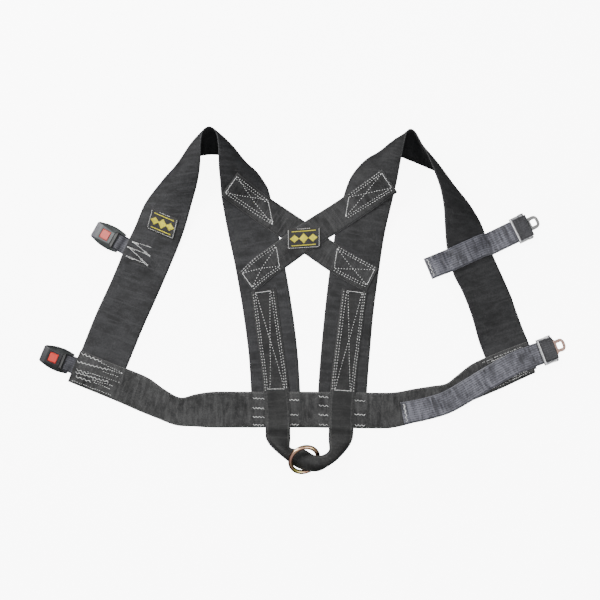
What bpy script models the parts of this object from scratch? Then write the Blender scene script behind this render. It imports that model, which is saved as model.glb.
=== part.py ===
import bpy
import bmesh
import math
import numpy as np
from mathutils import Vector, Matrix
from mathutils.bvhtree import BVHTree

for ob in list(bpy.data.objects):
    bpy.data.objects.remove(ob, do_unlink=True)

# All lengths below are millimetres; S turns them into metres.
S = 0.001
SHIFT = Vector((-0.4, 5.6, 0.0))      # brings the middle of the laid-out vest to the origin

SHOULDER_W, SHOULDER_T = 101.6, 2.2   # 4 in harness webbing
BELT_W, BELT_T = 76.2, 2.0            # 3 in
CROSS_W, CROSS_T = 55.5, 1.8          # about 2 1/4 in
TOW_W, TOW_T = 50.8, 2.0              # 2 in
TAIL_W, BELTING_T = 46.0, 1.3         # seat-belt webbing
STUB_W = 35.0
GAP = 0.35


# ---------------------------------------------------------------- materials
def material(name, colour, rough, metal=0.0):
    m = bpy.data.materials.new(name)
    m.use_nodes = True
    b = m.node_tree.nodes["Principled BSDF"]
    b.inputs["Base Color"].default_value = (*colour, 1.0)
    b.inputs["Roughness"].default_value = rough
    b.inputs["Metallic"].default_value = metal
    return m


NYLON = material("charcoal_nylon", (0.035, 0.035, 0.038), 0.85)
BELTING = material("grey_seat_belt_webbing", (0.075, 0.075, 0.09), 0.7)
LABEL = material("woven_label", (0.02, 0.02, 0.02), 0.8)
SHELL = material("buckle_plastic", (0.12, 0.12, 0.13), 0.45)
RED = material("button_red", (0.75, 0.12, 0.1), 0.4)
STEEL = material("bright_steel", (0.62, 0.62, 0.62), 0.25, 1.0)
ZINC = material("yellow_zinc_steel", (0.72, 0.5, 0.22), 0.28, 1.0)


def add_object(name, verts, faces, mat, place=None):
    bm = bmesh.new()
    vs = [bm.verts.new(Vector(v)) for v in verts]
    for f in faces:
        bm.faces.new([vs[i] for i in f])
    bmesh.ops.recalc_face_normals(bm, faces=bm.faces)
    return finish_bm(name, bm, mat, place)


def finish_bm(name, bm, mat, place=None):
    if place is not None:
        bm.transform(place)
    bm.transform(Matrix.Translation(SHIFT))
    bm.transform(Matrix.Scale(S, 4))
    if bm.calc_volume(signed=True) < 0:
        bmesh.ops.reverse_faces(bm, faces=bm.faces)
    me = bpy.data.meshes.new(name)
    bm.to_mesh(me)
    bm.free()
    ob = bpy.data.objects.new(name, me)
    me.materials.append(mat)
    bpy.context.collection.objects.link(ob)
    return ob


# ---------------------------------------------------------------- webbing
def flow(stations, step):
    """Smooth path through a few hand-placed (edge, edge, bulge) stations."""
    p = np.array([[*q[0], *q[1], q[2] if len(q) > 2 else 0.0] for q in stations], float)
    mid = (p[:, :3] + p[:, 3:6]) / 2
    p = np.vstack([2 * p[0] - p[1], p, 2 * p[-1] - p[-2]])
    out = []
    for i in range(len(mid) - 1):
        n = max(1, int(round(np.linalg.norm(mid[i + 1] - mid[i]) / step)))
        a, b, c, d = p[i], p[i + 1], p[i + 2], p[i + 3]
        for k in range(n):
            t = k / n
            out.append(0.5 * (2 * b + (c - a) * t + (2 * a - 5 * b + 4 * c - d) * t * t
                              + (3 * b - a - 3 * c + d) * t ** 3))
    out.append(p[-2])
    return np.array(out)


def line(p0, p1, width):
    """Two stations for a straight run of webbing between two centre points."""
    a, b = Vector(p0), Vector(p1)
    d = (b - a).normalized()
    w = Vector((-d.y, d.x, 0)).normalized() * width / 2
    return [(tuple(q + w), tuple(q - w)) for q in (a, b)]


def route(centres, width):
    """Stations from centre points, width taken level and square to the run."""
    c = [Vector(p) for p in centres]
    out = []
    for i, p in enumerate(c):
        d = c[min(i + 1, len(c) - 1)] - c[max(i - 1, 0)]
        w = Vector((-d.y, d.x, 0)).normalized() * width / 2
        out.append((tuple(p + w), tuple(p - w)))
    return out


def tree_of(ob):
    me = ob.data
    vs = [Vector(v.co) / S - SHIFT for v in me.vertices]
    return BVHTree.FromPolygons(vs, [tuple(p.vertices) for p in me.polygons])


def ground(trees, x, y, ceiling=400.0, reach=1.8):
    best = 0.0
    for dx, dy in ((0, 0), (reach, reach), (-reach, reach), (reach, -reach), (-reach, -reach)):
        for t in trees:
            hit = t.ray_cast(Vector((x + dx, y + dy, ceiling)), Vector((0, 0, -1)))[0]
            if hit is not None and hit.z > best:
                best = hit.z
    return best


def lay(grid, trees, gap, smooth=2, fine=5):
    """Rest a grid of points on what lies below, never nearer than the gap."""
    n, m = grid.shape[:2]
    steps = [(a / fine, b / fine) for a in range(fine + 1) for b in range(fine + 1)]
    w = np.array([[(1 - u) * (1 - v), (1 - u) * v, u * (1 - v), u * v] for u, v in steps])
    need = np.zeros((n - 1, m - 1, len(steps)))
    for i in range(n - 1):
        for j in range(m - 1):
            q = grid[i:i + 2, j:j + 2, :2].reshape(4, 2)
            need[i, j] = [ground(trees, *(k @ q)) + gap for k in w]
    floor = grid[..., 2].copy()
    h = floor.copy()
    for i in range(n - 1):
        for j in range(m - 1):
            h[i:i + 2, j:j + 2] = np.maximum(h[i:i + 2, j:j + 2], need[i, j].max())
    for sweep in range(10):
        for i in range(n):
            for j in range(m):
                drop = h[i, j] - floor[i, j]
                for a, b in ((i - 1, j - 1), (i - 1, j), (i, j - 1), (i, j)):
                    if 0 <= a < n - 1 and 0 <= b < m - 1:
                        c = w[:, (i - a) * 2 + (j - b)]
                        on = c > 1e-6
                        slack = (w @ h[a:a + 2, b:b + 2].reshape(4) - need[a, b])[on] / c[on]
                        drop = min(drop, slack.min())
                if drop > 0:
                    h[i, j] -= drop * (0.5 if sweep < 9 else 1.0)
    for _ in range(smooth):
        s = h.copy()
        s[1:-1] = 0.5 * (h[:-2] + h[2:])
        h = np.maximum(h, 0.5 * (h + s))
    grid[..., 2] = h
    return grid


def webbing(name, stations, width, thick, step, cols, mat, under=(), gap=GAP, smooth=2, cup=0.0):
    p = flow(stations, step)
    a, b, bulge = p[:, :3], p[:, 3:6], p[:, 6]
    c, d = (a + b) / 2, b - a
    chord = np.linalg.norm(d, axis=1)
    d /= chord[:, None]
    u = np.linspace(-0.5, 0.5, cols)
    span = np.minimum(width * (1 - 2.67 * (bulge / width) ** 2), chord)
    grid = c[:, None, :] + d[:, None, :] * (u[None, :, None] * span[:, None, None])
    up = np.cross(np.gradient(c, axis=0), d)
    up /= np.linalg.norm(up, axis=1)[:, None]
    up *= np.sign(up[:, 2:3].sum())
    sag = bulge + cup * span * np.sqrt(0.375 * np.maximum(width / span - 1.0, 0.0))
    grid += up[:, None, :] * (sag[:, None] * (1 - 4 * u[None, :] ** 2))[..., None]
    if under is not None:
        grid = lay(grid, [tree_of(o) for o in under], gap, smooth)
    du = np.gradient(grid, axis=0)
    dv = np.gradient(grid, axis=1)
    nrm = np.cross(du, dv)
    nrm /= np.linalg.norm(nrm, axis=2)[..., None]
    if nrm[..., 2].sum() < 0:
        nrm = -nrm
    top = grid + nrm * thick
    n, m = grid.shape[:2]
    verts = [tuple(v) for v in grid.reshape(-1, 3)] + [tuple(v) for v in top.reshape(-1, 3)]
    k = n * m
    faces = []
    for i in range(n - 1):
        for j in range(m - 1):
            q = (i * m + j, i * m + j + 1, (i + 1) * m + j + 1, (i + 1) * m + j)
            faces.append(q)
            faces.append(tuple(x + k for x in reversed(q)))
        for j in (0, m - 1):
            faces.append((i * m + j, (i + 1) * m + j, (i + 1) * m + j + k, i * m + j + k))
    for i in (0, n - 1):
        for j in range(m - 1):
            faces.append((i * m + j, i * m + j + 1, i * m + j + 1 + k, i * m + j + k))
    return add_object(name, verts, faces, mat)


# ---------------------------------------------------------------- hard parts
def prism(outline, z0, z1):
    n = len(outline)
    verts = [(x, y, z0) for x, y in outline] + [(x, y, z1) for x, y in outline]
    faces = [tuple(range(n)), tuple(range(n, 2 * n))]
    faces += [(i, (i + 1) % n, (i + 1) % n + n, i + n) for i in range(n)]
    return verts, faces


def box(x0, x1, y0, y1, z0, z1):
    return prism([(x0, y0), (x1, y0), (x1, y1), (x0, y1)], z0, z1)


def mirror_outline(half):
    return half + [(x, -y) for x, y in reversed(half)]


def disc(cx, cy, r, z0, z1, n=16):
    return prism([(cx + r * math.cos(2 * math.pi * i / n), cy + r * math.sin(2 * math.pi * i / n))
                  for i in range(n)], z0, z1)


def temp(shape):
    verts, faces = shape
    bm = bmesh.new()
    vs = [bm.verts.new(v) for v in verts]
    for f in faces:
        bm.faces.new([vs[i] for i in f])
    bmesh.ops.recalc_face_normals(bm, faces=bm.faces)
    me = bpy.data.meshes.new("blank")
    bm.to_mesh(me)
    bm.free()
    ob = bpy.data.objects.new("blank", me)
    bpy.context.collection.objects.link(ob)
    return ob


def carve(name, blank, steps, mat, place):
    """blank: a shape; steps: (operation, shape) pairs worked with exact booleans."""
    ob = temp(blank)
    for kind, shape in steps:
        tool = temp(shape)
        mod = ob.modifiers.new("cut", "BOOLEAN")
        mod.operation = kind
        mod.solver = "EXACT"
        mod.object = tool
        dg = bpy.context.evaluated_depsgraph_get()
        me = bpy.data.meshes.new_from_object(ob.evaluated_get(dg))
        ob.modifiers.clear()
        ob.data = me
        bpy.data.objects.remove(tool, do_unlink=True)
    bm = bmesh.new()
    bm.from_mesh(ob.data)
    bpy.data.objects.remove(ob, do_unlink=True)
    bmesh.ops.remove_doubles(bm, verts=bm.verts, dist=1e-4)
    bmesh.ops.dissolve_limit(bm, angle_limit=0.01, verts=bm.verts, edges=bm.edges)
    bmesh.ops.triangulate(bm, faces=bm.faces)
    return finish_bm(name, bm, mat, place)


def solid(name, shape, mat, place):
    verts, faces = shape
    return add_object(name, verts, faces, mat, place)


def lathe(profile, n=16):
    verts, faces = [], []
    for r, z in profile:
        verts += [(r * math.cos(2 * math.pi * i / n), r * math.sin(2 * math.pi * i / n), z)
                  for i in range(n)]
    for k in range(len(profile) - 1):
        faces += [(k * n + i, k * n + (i + 1) % n, (k + 1) * n + (i + 1) % n, (k + 1) * n + i)
                  for i in range(n)]
    faces.append(tuple(range(n)))
    faces.append(tuple(range((len(profile) - 1) * n, len(profile) * n)))
    return verts, faces


def bar_path(name, path, width, thick, mat, place, cols=2):
    """Webbing bent round a bar: a path in (along, up) of its middle line."""
    pts = [Vector((p[0], 0, p[1])) for p in path]
    verts, faces = [], []
    n = len(pts)
    for i, p in enumerate(pts):
        d = (pts[min(i + 1, n - 1)] - pts[max(i - 1, 0)]).normalized()
        nrm = Vector((-d.z, 0, d.x)) * thick / 2
        for s, y in ((-1, -1), (-1, 1), (1, 1), (1, -1)):
            verts.append(p + nrm * s + Vector((0, y * width / 2, 0)))
    for i in range(n - 1):
        for k in range(4):
            faces.append((4 * i + k, 4 * i + (k + 1) % 4, 4 * i + 4 + (k + 1) % 4, 4 * i + 4 + k))
    faces += [(0, 1, 2, 3), tuple(4 * n - 4 + k for k in range(4))]
    return add_object(name, [tuple(v) for v in verts], faces, mat, place)


def turn_round(x, zc, r, n=7):
    """Half circle opening towards -x, from below to above."""
    return [(x + r * math.sin(math.pi * k / n), zc - r * math.cos(math.pi * k / n))
            for k in range(n + 1)]


# ================================================================ the straps
# Belt: inner layer against the body, outer layer over the strap ends.
BELT_RUN = [((-466, -106, 0), (-493, -170, 0)), ((-401, -133, 0), (-426, -197, 0)),
            ((-351, -152, 0), (-376, -218, 0)), ((-321, -166, 0), (-342, -233, 0)),
            ((-292, -187, 0), (-307, -247, 0)), ((-258, -205, 0), (-267, -262, 0)),
            ((-225, -198, 0), (-227, -265, 0)), ((-187, -193, 0), (-189, -267, 0)),
            ((-124, -193, 0), (-124, -267, 0)), ((2, -193, 0), (2, -267, 0)),
            ((153, -195, 0), (153, -269, 0)), ((195, -194, 0), (191, -267, 0)),
            ((233, -187, 0), (225, -259, 0)), ((271, -181, 0), (267, -248, 0)),
            ((300, -176, 0), (307, -234, 0)), ((323, -159, 0), (342, -216, 0)),
            ((353, -136, 0), (380, -200, 0)), ((393, -117, 0), (420, -183, 0)),
            ((430, -102, 0), (454, -167, 0)), ((468, -88, 0), (487, -152, 0))]
belt_inner = webbing("belt_inner_layer", BELT_RUN, BELT_W, BELT_T, 26, 3, NYLON,
                     under=(), gap=0.0, smooth=0)

# Seat-belt webbing sewn between the layers: it holds the buckles and the tongues.
CHEST_B = Vector((-380.8, 118, 0))       # webbing end of the chest buckle
CHEST_B_ANG = math.radians(150.3)      # from its webbing end to its mouth
WAIST_B = Vector((-487.2, -134.2, 0))
WAIST_B_ANG = math.radians(157.5)
CHEST_T = Vector((442.5, 142.5, 0))      # lip bar of the chest adjuster
CHEST_T_ANG = math.radians(26.0)
WAIST_T = Vector((496, -111.5, 0))
WAIST_T_ANG = math.radians(21.0)


def ahead(p, ang, d, z=0.0):
    return (p.x + d * math.cos(ang), p.y + d * math.sin(ang), z)


CB_HINGE, WB_HINGE = -1.4, -2.9          # where each buckle's webbing bends
CT_HINGE, WT_HINGE = -43.0, -8.0       # the same behind each adjuster

chest_anchor = webbing("chest_buckle_anchor_webbing",
                       line(ahead(CHEST_B, CHEST_B_ANG, -66, 0.0),
                            ahead(CHEST_B, CHEST_B_ANG, CB_HINGE - 0.4, 0.0), STUB_W),
                       STUB_W, 2.6, 15, 3, BELTING, under=(), smooth=0)
waist_anchor = webbing("waist_buckle_anchor_webbing",
                       line(ahead(WAIST_B, WAIST_B_ANG, -60, 0.0),
                            ahead(WAIST_B, WAIST_B_ANG, WB_HINGE - 0.4, 0.0), STUB_W),
                       STUB_W, 2.6, 7, 4, BELTING, under=(belt_inner,), smooth=2)
chest_base = webbing("chest_tongue_base_webbing",
                     line(ahead(CHEST_T, CHEST_T_ANG, -130), ahead(CHEST_T, CHEST_T_ANG, CT_HINGE - 0.5),
                          TAIL_W),
                     TAIL_W, BELTING_T, 20, 3, BELTING, under=(), smooth=0)
waist_base = webbing("waist_tongue_base_webbing",
                     line(ahead(WAIST_T, WAIST_T_ANG, -75, 2.35), ahead(WAIST_T, WAIST_T_ANG, WT_HINGE - 0.5, 2.35),
                          TAIL_W),
                     TAIL_W, BELTING_T, 7, 5, BELTING, under=(belt_inner,), smooth=2)

# Shoulder straps: (armhole edge, outer edge) pairs, from the belt up the back,
# over the shoulder as a standing loop, and down the front.
LEFT = [((-105, -262, 0), (-4, -256, 0)), ((-109, -185, 0), (-7, -178, 0)),
        ((-114, -109, 0), (-13, -99, 0)), ((-126, -21, 0), (-25, -6, 0)),
        ((-141, 67, 0), (-41, 84, 0)), ((-157, 142, 7), (-57, 162, 0), 1),
        ((-168, 203, 24), (-70, 224, 1), 4), ((-171, 246, 50), (-82, 249, 2), 9),
        ((-172, 281, 72), (-106, 277, 3), 13), ((-175, 322, 90), (-142, 298, 3), 15),
        ((-190, 353, 96), (-192, 303, 3), 11), ((-205, 322, 88), (-241, 298, 3), 14),
        ((-210, 280, 70), (-276, 271, 3), 12), ((-218, 242, 46), (-307, 235, 3), 8),
        ((-232, 200, 23), (-331, 202, 3), 4), ((-250, 141, 8), (-352, 155, 3), 1),
        ((-276, 79, 2), (-373, 108, 2)), ((-308, 5, 0), (-404, 35, 0)),
        ((-335, -55, 0), (-431, -23, 0)), ((-358, -111, 0), (-453, -77, 0)),
        ((-384, -176, 0), (-478, -142, 0))]
RIGHT = [((130, -262, 0), (29, -256, 0)), ((134, -185, 0), (33, -178, 0)),
         ((140, -109, 0), (39, -99, 0)), ((148, -21, 0), (48, -8, 0)),
         ((160, 67, 0), (59, 82, 0)), ((171, 139, 6), (71, 160, 0), 1),
         ((183, 194, 20), (85, 217, 1), 3), ((192, 240, 42), (102, 260, 2), 6),
         ((200, 284, 66), (133, 296, 3), 9), ((207, 325, 86), (177, 312, 3), 13),
         ((218, 347, 95), (222, 288, 3), 10), ((234, 327, 90), (262, 277, 3), 6),
         ((251, 299, 84), (297, 260, 3), 5), ((268, 262, 76), (326, 229, 3), 4),
         ((280, 229, 72), (347, 203, 3), 3), ((288, 190, 66), (362, 180, 3), 3),
         ((292, 143, 57), (374, 158, 3), 2), ((297, 105, 47), (385, 129, 2), 2),
         ((311, 55, 37), (400, 89, 2), 2), ((331, 17, 31), (420, 45, 2), 2),
         ((347, -21, 25), (437, 6, 1), 2), ((356, -46, 18), (445, -18, 0), 1),
         ((369, -86, 5), (459, -56, 0)), ((382, -120, 0), (473, -92, 0)),
         ((398, -172, 0), (489, -144, 0))]
left = webbing("shoulder_strap_left", LEFT, SHOULDER_W, SHOULDER_T, 20, 4, NYLON,
               under=(belt_inner, chest_anchor, waist_anchor), smooth=1)
right = webbing("shoulder_strap_right", RIGHT, SHOULDER_W, SHOULDER_T, 20, 4, NYLON,
                under=(belt_inner, chest_base, waist_base), smooth=1)

belt_outer = webbing("belt_outer_layer", BELT_RUN, BELT_W, BELT_T, 13, 4, NYLON,
                     under=(belt_inner, waist_anchor, waist_base, left, right), smooth=1)

# Cross on the back; its ends are sewn on the shoulder straps.
cross_lower = webbing("cross_strap_lower",
                      [((-129, 252, 0), (-163, 207, 0)), ((-84, 218, 0), (-110, 170, 0)),
                       ((-32, 189, 0), (-64, 142, 0)), ((22, 152, 0), (-12, 108, 0)),
                       ((64, 121, 0), (38, 73, 0)), ((105, 95, 0), (81, 45, 0)),
                       ((157, 66, 0), (132, 17, 0))],
                      CROSS_W, CROSS_T, 12, 5, NYLON, under=(left, right), gap=0.8, smooth=1)
cross_upper = webbing("cross_strap_upper",
                      [((160, 265, 0), (192, 219, 0)), ((108, 231, 0), (139, 185, 0)),
                       ((56, 197, 0), (88, 151, 0)), ((-8, 156, 0), (26, 113, 0)),
                       ((-66, 114, 0), (-38, 67, 0)), ((-102, 88, 0), (-72, 42, 0)),
                       ((-134, 57, 0), (-103, 13, 0))],
                      CROSS_W, CROSS_T, 12, 5, NYLON, under=(left, right, cross_lower), gap=0.8,
                      smooth=1)

# Tow strap: two legs sewn on the columns, over the belt, and the hanging loop.
TOW_Y = -279.0                          # where the loop starts to swing
tow_left = webbing("tow_strap_left_leg",
                   route([(-83, 21, 0), (-71, -70, 0), (-60, -150, 0), (-55, -205, 0),
                          (-52.5, -240, 0), (-52.5, TOW_Y + 1.0, 0)], TOW_W),
                   TOW_W, TOW_T, 13, 4, NYLON, under=(left, belt_outer, cross_upper), smooth=1)
tow_right = webbing("tow_strap_right_leg",
                    route([(108, 21, 0), (97, -70, 0), (87, -150, 0), (82, -205, 0),
                           (80, -240, 0), (79.5, TOW_Y + 1.0, 0)], TOW_W),
                    TOW_W, TOW_T, 13, 4, NYLON, under=(right, belt_outer, cross_lower), smooth=1)

back_label = webbing("back_label",
                     [((-33, 149, 0), (-33, 105, 0)), ((2, 152, 0), (2, 107, 0)),
                      ((36, 154, 0), (36, 110, 0))],
                     44, 0.8, 12, 4, LABEL, under=(cross_lower, cross_upper), smooth=2)
chest_label = webbing("chest_label",
                      [((-316, 192, 0), (-328, 150, 0)), ((-288, 180, 0), (-300, 138, 0)),
                       ((-260, 168, 0), (-272, 126, 0))],
                      44, 0.8, 10, 4, LABEL, under=(left,), smooth=2)
chest_tail = webbing("chest_tongue_tail",
                     route([(262, 65, 0), (300, 81, 0), (345, 101, 0), (375, 114, 0),
                            ahead(CHEST_T, CHEST_T_ANG, CT_HINGE - 14, 5.4),
                            ahead(CHEST_T, CHEST_T_ANG, CT_HINGE - 0.6, 5.4)], TAIL_W),
                     TAIL_W, BELTING_T, 12, 4, BELTING, under=(right, chest_base), smooth=1)
waist_tail = webbing("waist_tongue_tail",
                     route([(208, -238, 0), (250, -230, 0), (300, -215, 0), (348, -188, 0),
                            (395, -159, 0), (439, -134.5, 0),
                            ahead(WAIST_T, WAIST_T_ANG, WT_HINGE - 14, 7.6),
                            ahead(WAIST_T, WAIST_T_ANG, WT_HINGE - 0.6, 7.6)], TAIL_W),
                     TAIL_W, BELTING_T, 12, 4, BELTING,
                     under=(belt_outer, belt_inner, right, waist_base), smooth=1)

# The loop below the belt: left leg, a fold at each corner, the run through the ring.
LOOP = [((-78, TOW_Y, 7.3), (-27, TOW_Y, 7.3)), ((-77, -290, 5), (-27, -291, 6)),
        ((-69, -304, 3), (-28, -304, 9)), ((-52, -320, 5), (-27, -308, 14)),
        ((-31, -337, 5), (-19, -311, 15)), ((-14, -349, 8), (-7, -312, 14)),
        ((4, -355, 14), (6, -314, 14)), ((24, -357, 18), (20, -322, 19)),
        ((40, -353, 19), (33, -324, 26)), ((58, -342, 14), (46, -320, 28)),
        ((77, -328, 8), (54, -313, 23)), ((95, -308, 3), (55, -306, 12)),
        ((103, -292, 5), (54, -292, 6)), ((105, TOW_Y, 7.3), (54, TOW_Y, 7.3))]
tow_loop = webbing("tow_strap_loop", LOOP, TOW_W, TOW_T, 8, 5, NYLON, under=(), gap=0.3, smooth=0,
                   cup=0.9)

# O-ring threaded on the loop: the left of it over the strap, the right of it under.
RING_C, RING_R, WIRE_R = Vector((2.5, -332.5, 20.4)), 30.2, 4.75
ring_place = (Matrix.Translation(RING_C) @ Matrix.Rotation(math.radians(18.5), 4, "Y")
              @ Matrix.Rotation(math.radians(24.5), 4, "X"))
verts, faces = [], []
NU, NV = 32, 10
for i in range(NU):
    a = 2 * math.pi * i / NU
    for j in range(NV):
        b = 2 * math.pi * j / NV
        r = RING_R + WIRE_R * math.cos(b)
        verts.append((r * math.cos(a), r * math.sin(a), WIRE_R * math.sin(b)))
for i in range(NU):
    for j in range(NV):
        faces.append((i * NV + j, i * NV + (j + 1) % NV, ((i + 1) % NU) * NV + (j + 1) % NV,
                      ((i + 1) % NU) * NV + j))
tow_ring = add_object("tow_ring", verts, faces, ZINC, ring_place)


# ================================================================ buckles
BARREL = mirror_outline([(0, 21.6), (10, 23.4), (24, 24.8), (42, 23.6), (56, 20.4), (64, 18.2),
                         (66, 16.0)])
OUTLINE = BARREL + [(0, -18.4), (21, -17.9), (21, 17.9), (0, 18.4)]
POCKET = mirror_outline([(20, 21.4), (42, 21.2), (54, 18.4), (62.4, 16.2)])
FRAME = mirror_outline([(6.5, 19.9), (42, 19.9), (54, 16.8), (57, 14.0)])


def shrink(outline, k, cx=36.0):
    return [(cx + (x - cx) * k, y * k) for x, y in outline]


LENGTH = 0.955                          # the shells are drawn 66 long and used at 63


def buckle(pre, origin, ang, hinge, z_low, z_high):
    place = (Matrix.Translation((origin.x, origin.y, 0)) @ Matrix.Rotation(ang, 4, "Z")
             @ Matrix.Diagonal((LENGTH, 1, 1, 1)))
    counter = [disc(53, s * 9, 3.1, -1, 1.7) for s in (1, -1)]
    bores = [disc(53, s * 9, 1.8, -1, 4, 12) for s in (1, -1)]
    carve(pre + "_buckle_lower_shell", prism(BARREL, 0.3, 8.0),
          [("DIFFERENCE", prism(POCKET, 2.4, 9)), ("DIFFERENCE", box(4, 24, -20.3, 20.3, 3.6, 6.6)),
           ("DIFFERENCE", box(-1, 3, -18.4, 18.4, -1, 9)),
           ("DIFFERENCE", box(2, 21, -17.9, 17.9, 1.9, 9))]
          + [("DIFFERENCE", c) for c in counter + bores], SHELL, place)
    # upper shell with a sloped rim
    n = len(OUTLINE)
    inner = shrink(OUTLINE, 0.9)
    verts = ([(x, y, 8.3) for x, y in OUTLINE] + [(x, y, 15.2) for x, y in OUTLINE]
             + [(x, y, 20.0) for x, y in inner])
    faces = [tuple(range(n)), tuple(range(2 * n, 3 * n))]
    for k in (0, 1):
        faces += [(k * n + i, k * n + (i + 1) % n, (k + 1) * n + (i + 1) % n, (k + 1) * n + i)
                  for i in range(n)]
    carve(pre + "_buckle_upper_shell", (verts, faces),
          [("DIFFERENCE", prism(shrink(POCKET, 0.97), 7.0, 17.6)),
           ("DIFFERENCE", box(28.2, 48.2, -9.9, 9.9, 16, 22)),
           ("DIFFERENCE", box(60, 68, -15.4, 15.4, 7.0, 13.6))], SHELL, place)
    carve(pre + "_buckle_frame", prism(FRAME, 4.0, 6.2),
          [("DIFFERENCE", box(9.7, 17.0, -17.9, 17.9, 3, 7))]
          + [("DIFFERENCE", disc(53, s * 9, 1.8, 3, 8, 12)) for s in (1, -1)], STEEL, place)
    for tag, s in (("a", 1), ("b", -1)):
        solid(pre + "_buckle_rivet_" + tag,
              lathe([(2.7, 0.5), (2.7, 1.4), (1.4, 1.45), (1.4, 6.5), (2.5, 6.5), (1.9, 7.5)], 12),
              STEEL, place @ Matrix.Translation((53, s * 9, 0)))
    solid(pre + "_release_button",
          ([(28.7, -9.4, 13.9), (47.7, -9.4, 13.9), (47.7, 9.4, 13.9), (28.7, 9.4, 13.9),
            (28.7, -9.4, 18.6), (47.7, -9.4, 18.6), (47.7, 9.4, 18.6), (28.7, 9.4, 18.6),
            (30.0, -8.1, 19.6), (46.4, -8.1, 19.6), (46.4, 8.1, 19.6), (30.0, 8.1, 19.6),
            (27.2, -11.0, 12.5), (49.2, -11.0, 12.5), (49.2, 11.0, 12.5), (27.2, 11.0, 12.5),
            (27.2, -11.0, 13.9), (49.2, -11.0, 13.9), (49.2, 11.0, 13.9), (27.2, 11.0, 13.9)],
           [(12, 15, 14, 13), (8, 9, 10, 11)]
           + [(12 + i, 12 + (i + 1) % 4, 16 + (i + 1) % 4, 16 + i) for i in range(4)]
           + [(16 + i, 16 + (i + 1) % 4, (i + 1) % 4, i) for i in range(4)]
           + [(i, (i + 1) % 4, 4 + (i + 1) % 4, 4 + i) for i in range(4)]
           + [(4 + i, 4 + (i + 1) % 4, 8 + (i + 1) % 4, 8 + i) for i in range(4)]), RED, place)
    # spring between the frame and the button
    turns, per, ring, wr, cr, z0, z1 = 4, 9, 4, 0.45, 2.3, 7.0, 11.9
    verts, faces = [], []
    total = turns * per
    for i in range(total + 1):
        a = 2 * math.pi * i / per
        c = Vector((34 + cr * math.cos(a), cr * math.sin(a), z0 + (z1 - z0) * i / total))
        t = Vector((-math.sin(a), math.cos(a), 0))
        e1 = Vector((math.cos(a), math.sin(a), 0))
        e2 = t.cross(e1)
        for j in range(ring):
            b = 2 * math.pi * j / ring
            verts.append(tuple(c + e1 * wr * math.cos(b) + e2 * wr * math.sin(b)))
    for i in range(total):
        for j in range(ring):
            faces.append((i * ring + j, i * ring + (j + 1) % ring,
                          (i + 1) * ring + (j + 1) % ring, (i + 1) * ring + j))
    faces += [tuple(range(ring)), tuple(range(total * ring, (total + 1) * ring))]
    add_object(pre + "_button_spring", verts, faces, STEEL, place)
    solid(pre + "_latch_pawl", prism([(23.5, -12), (29.6, -12), (29.6, 12), (23.5, 12)], 6.6, 8.2),
          STEEL, place)
    solid(pre + "_ejector", prism([(42.5, -4.5), (49.2, -4.5), (49.2, 4.5), (42.5, 4.5)], 6.6, 8.5),
          SHELL, place)
    # webbing round the frame bar
    path = [(hinge, z_low), (0.5, 2.95), (3, 2.98)] + turn_round(10.9, 5.1, 2.1) \
        + [(5, 7.2), (1.0, 6.6), (hinge, z_high)]
    bar_path(pre + "_buckle_webbing_loop", path, STUB_W, 1.3, BELTING, place)


buckle("chest", CHEST_B, CHEST_B_ANG, CB_HINGE, 1.05, 2.7)
buckle("waist", WAIST_B, WAIST_B_ANG, WB_HINGE, 3.05, 4.7)


# ================================================================ tongues
def tongue(pre, origin, ang, front, hinge, z_low, z_high):
    place = Matrix.Translation((origin.x, origin.y, 0)) @ Matrix.Rotation(ang, 4, "Z")
    half = [(9, 24), (28, 24), (31, 20.5), (34, 20.5), (37.5, 14.2), (50, 14.0), (55, 12.0),
            (57.5, 7.5)]
    carve(pre + "_latch_plate", prism(mirror_outline(half), 0.4, 2.6),
          [("DIFFERENCE", prism([(40, -6), (51, -6), (51, 6), (40, 6)], -1, 4))],
          ZINC if pre == "waist" else STEEL, place)
    u = [(-28, 2.9), (28, 2.9), (28, 12.2), (26.2, 12.2), (26.2, 4.3), (-26.2, 4.3),
         (-26.2, 12.2), (-28, 12.2)]
    verts = [(1.0, y, z) for y, z in u] + [(33.0, y, z) for y, z in u]
    n = len(u)
    faces = [tuple(range(n)), tuple(range(n, 2 * n))]
    faces += [(i, (i + 1) % n, (i + 1) % n + n, i + n) for i in range(n)]
    carve(pre + "_adjuster_frame", (verts, faces),
          [("UNION", box(0.0, 5.0, -27.2, 27.2, 10.8, 12.8)),
           ("DIFFERENCE", box(15.5, 31.0, -30, 30, 6.1, 9.0)),
           ("DIFFERENCE", box(10.0, 22.0, -20, 20, 2, 5))], STEEL, place)
    solid(pre + "_slide_bar",
          ([(x, y, z) for y in (-29, 29) for x, z in ((21.6, 6.9), (29.4, 6.9), (30.2, 7.5),
                                                       (29.4, 8.2), (21.6, 8.2), (20.8, 7.5))],
           [tuple(range(6)), tuple(range(6, 12))]
           + [(i, (i + 1) % 6, (i + 1) % 6 + 6, i + 6) for i in range(6)]), STEEL, place)
    path = [(hinge, z_low), (hinge + 3, z_low), (-1.0, 5.25), (12, 5.35)] \
        + turn_round(front - 2.2, 7.55, 2.2) + [(18, 9.85), (6, 9.85), (-1.0, 9.7),
                                                 (hinge + 3, z_high), (hinge, z_high)]
    bar_path(pre + "_tongue_webbing_loop", path, TAIL_W, BELTING_T, BELTING, place)


tongue("chest", CHEST_T, CHEST_T_ANG, 35.0, CT_HINGE, 1.0, 6.05)
tongue("waist", WAIST_T, WAIST_T_ANG, 34.0, WT_HINGE, 3.0, 8.25)
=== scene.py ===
import math
import random

import bmesh
import bpy
import numpy as np
from mathutils import Matrix, Vector, noise
from mathutils.bvhtree import BVHTree


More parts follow.
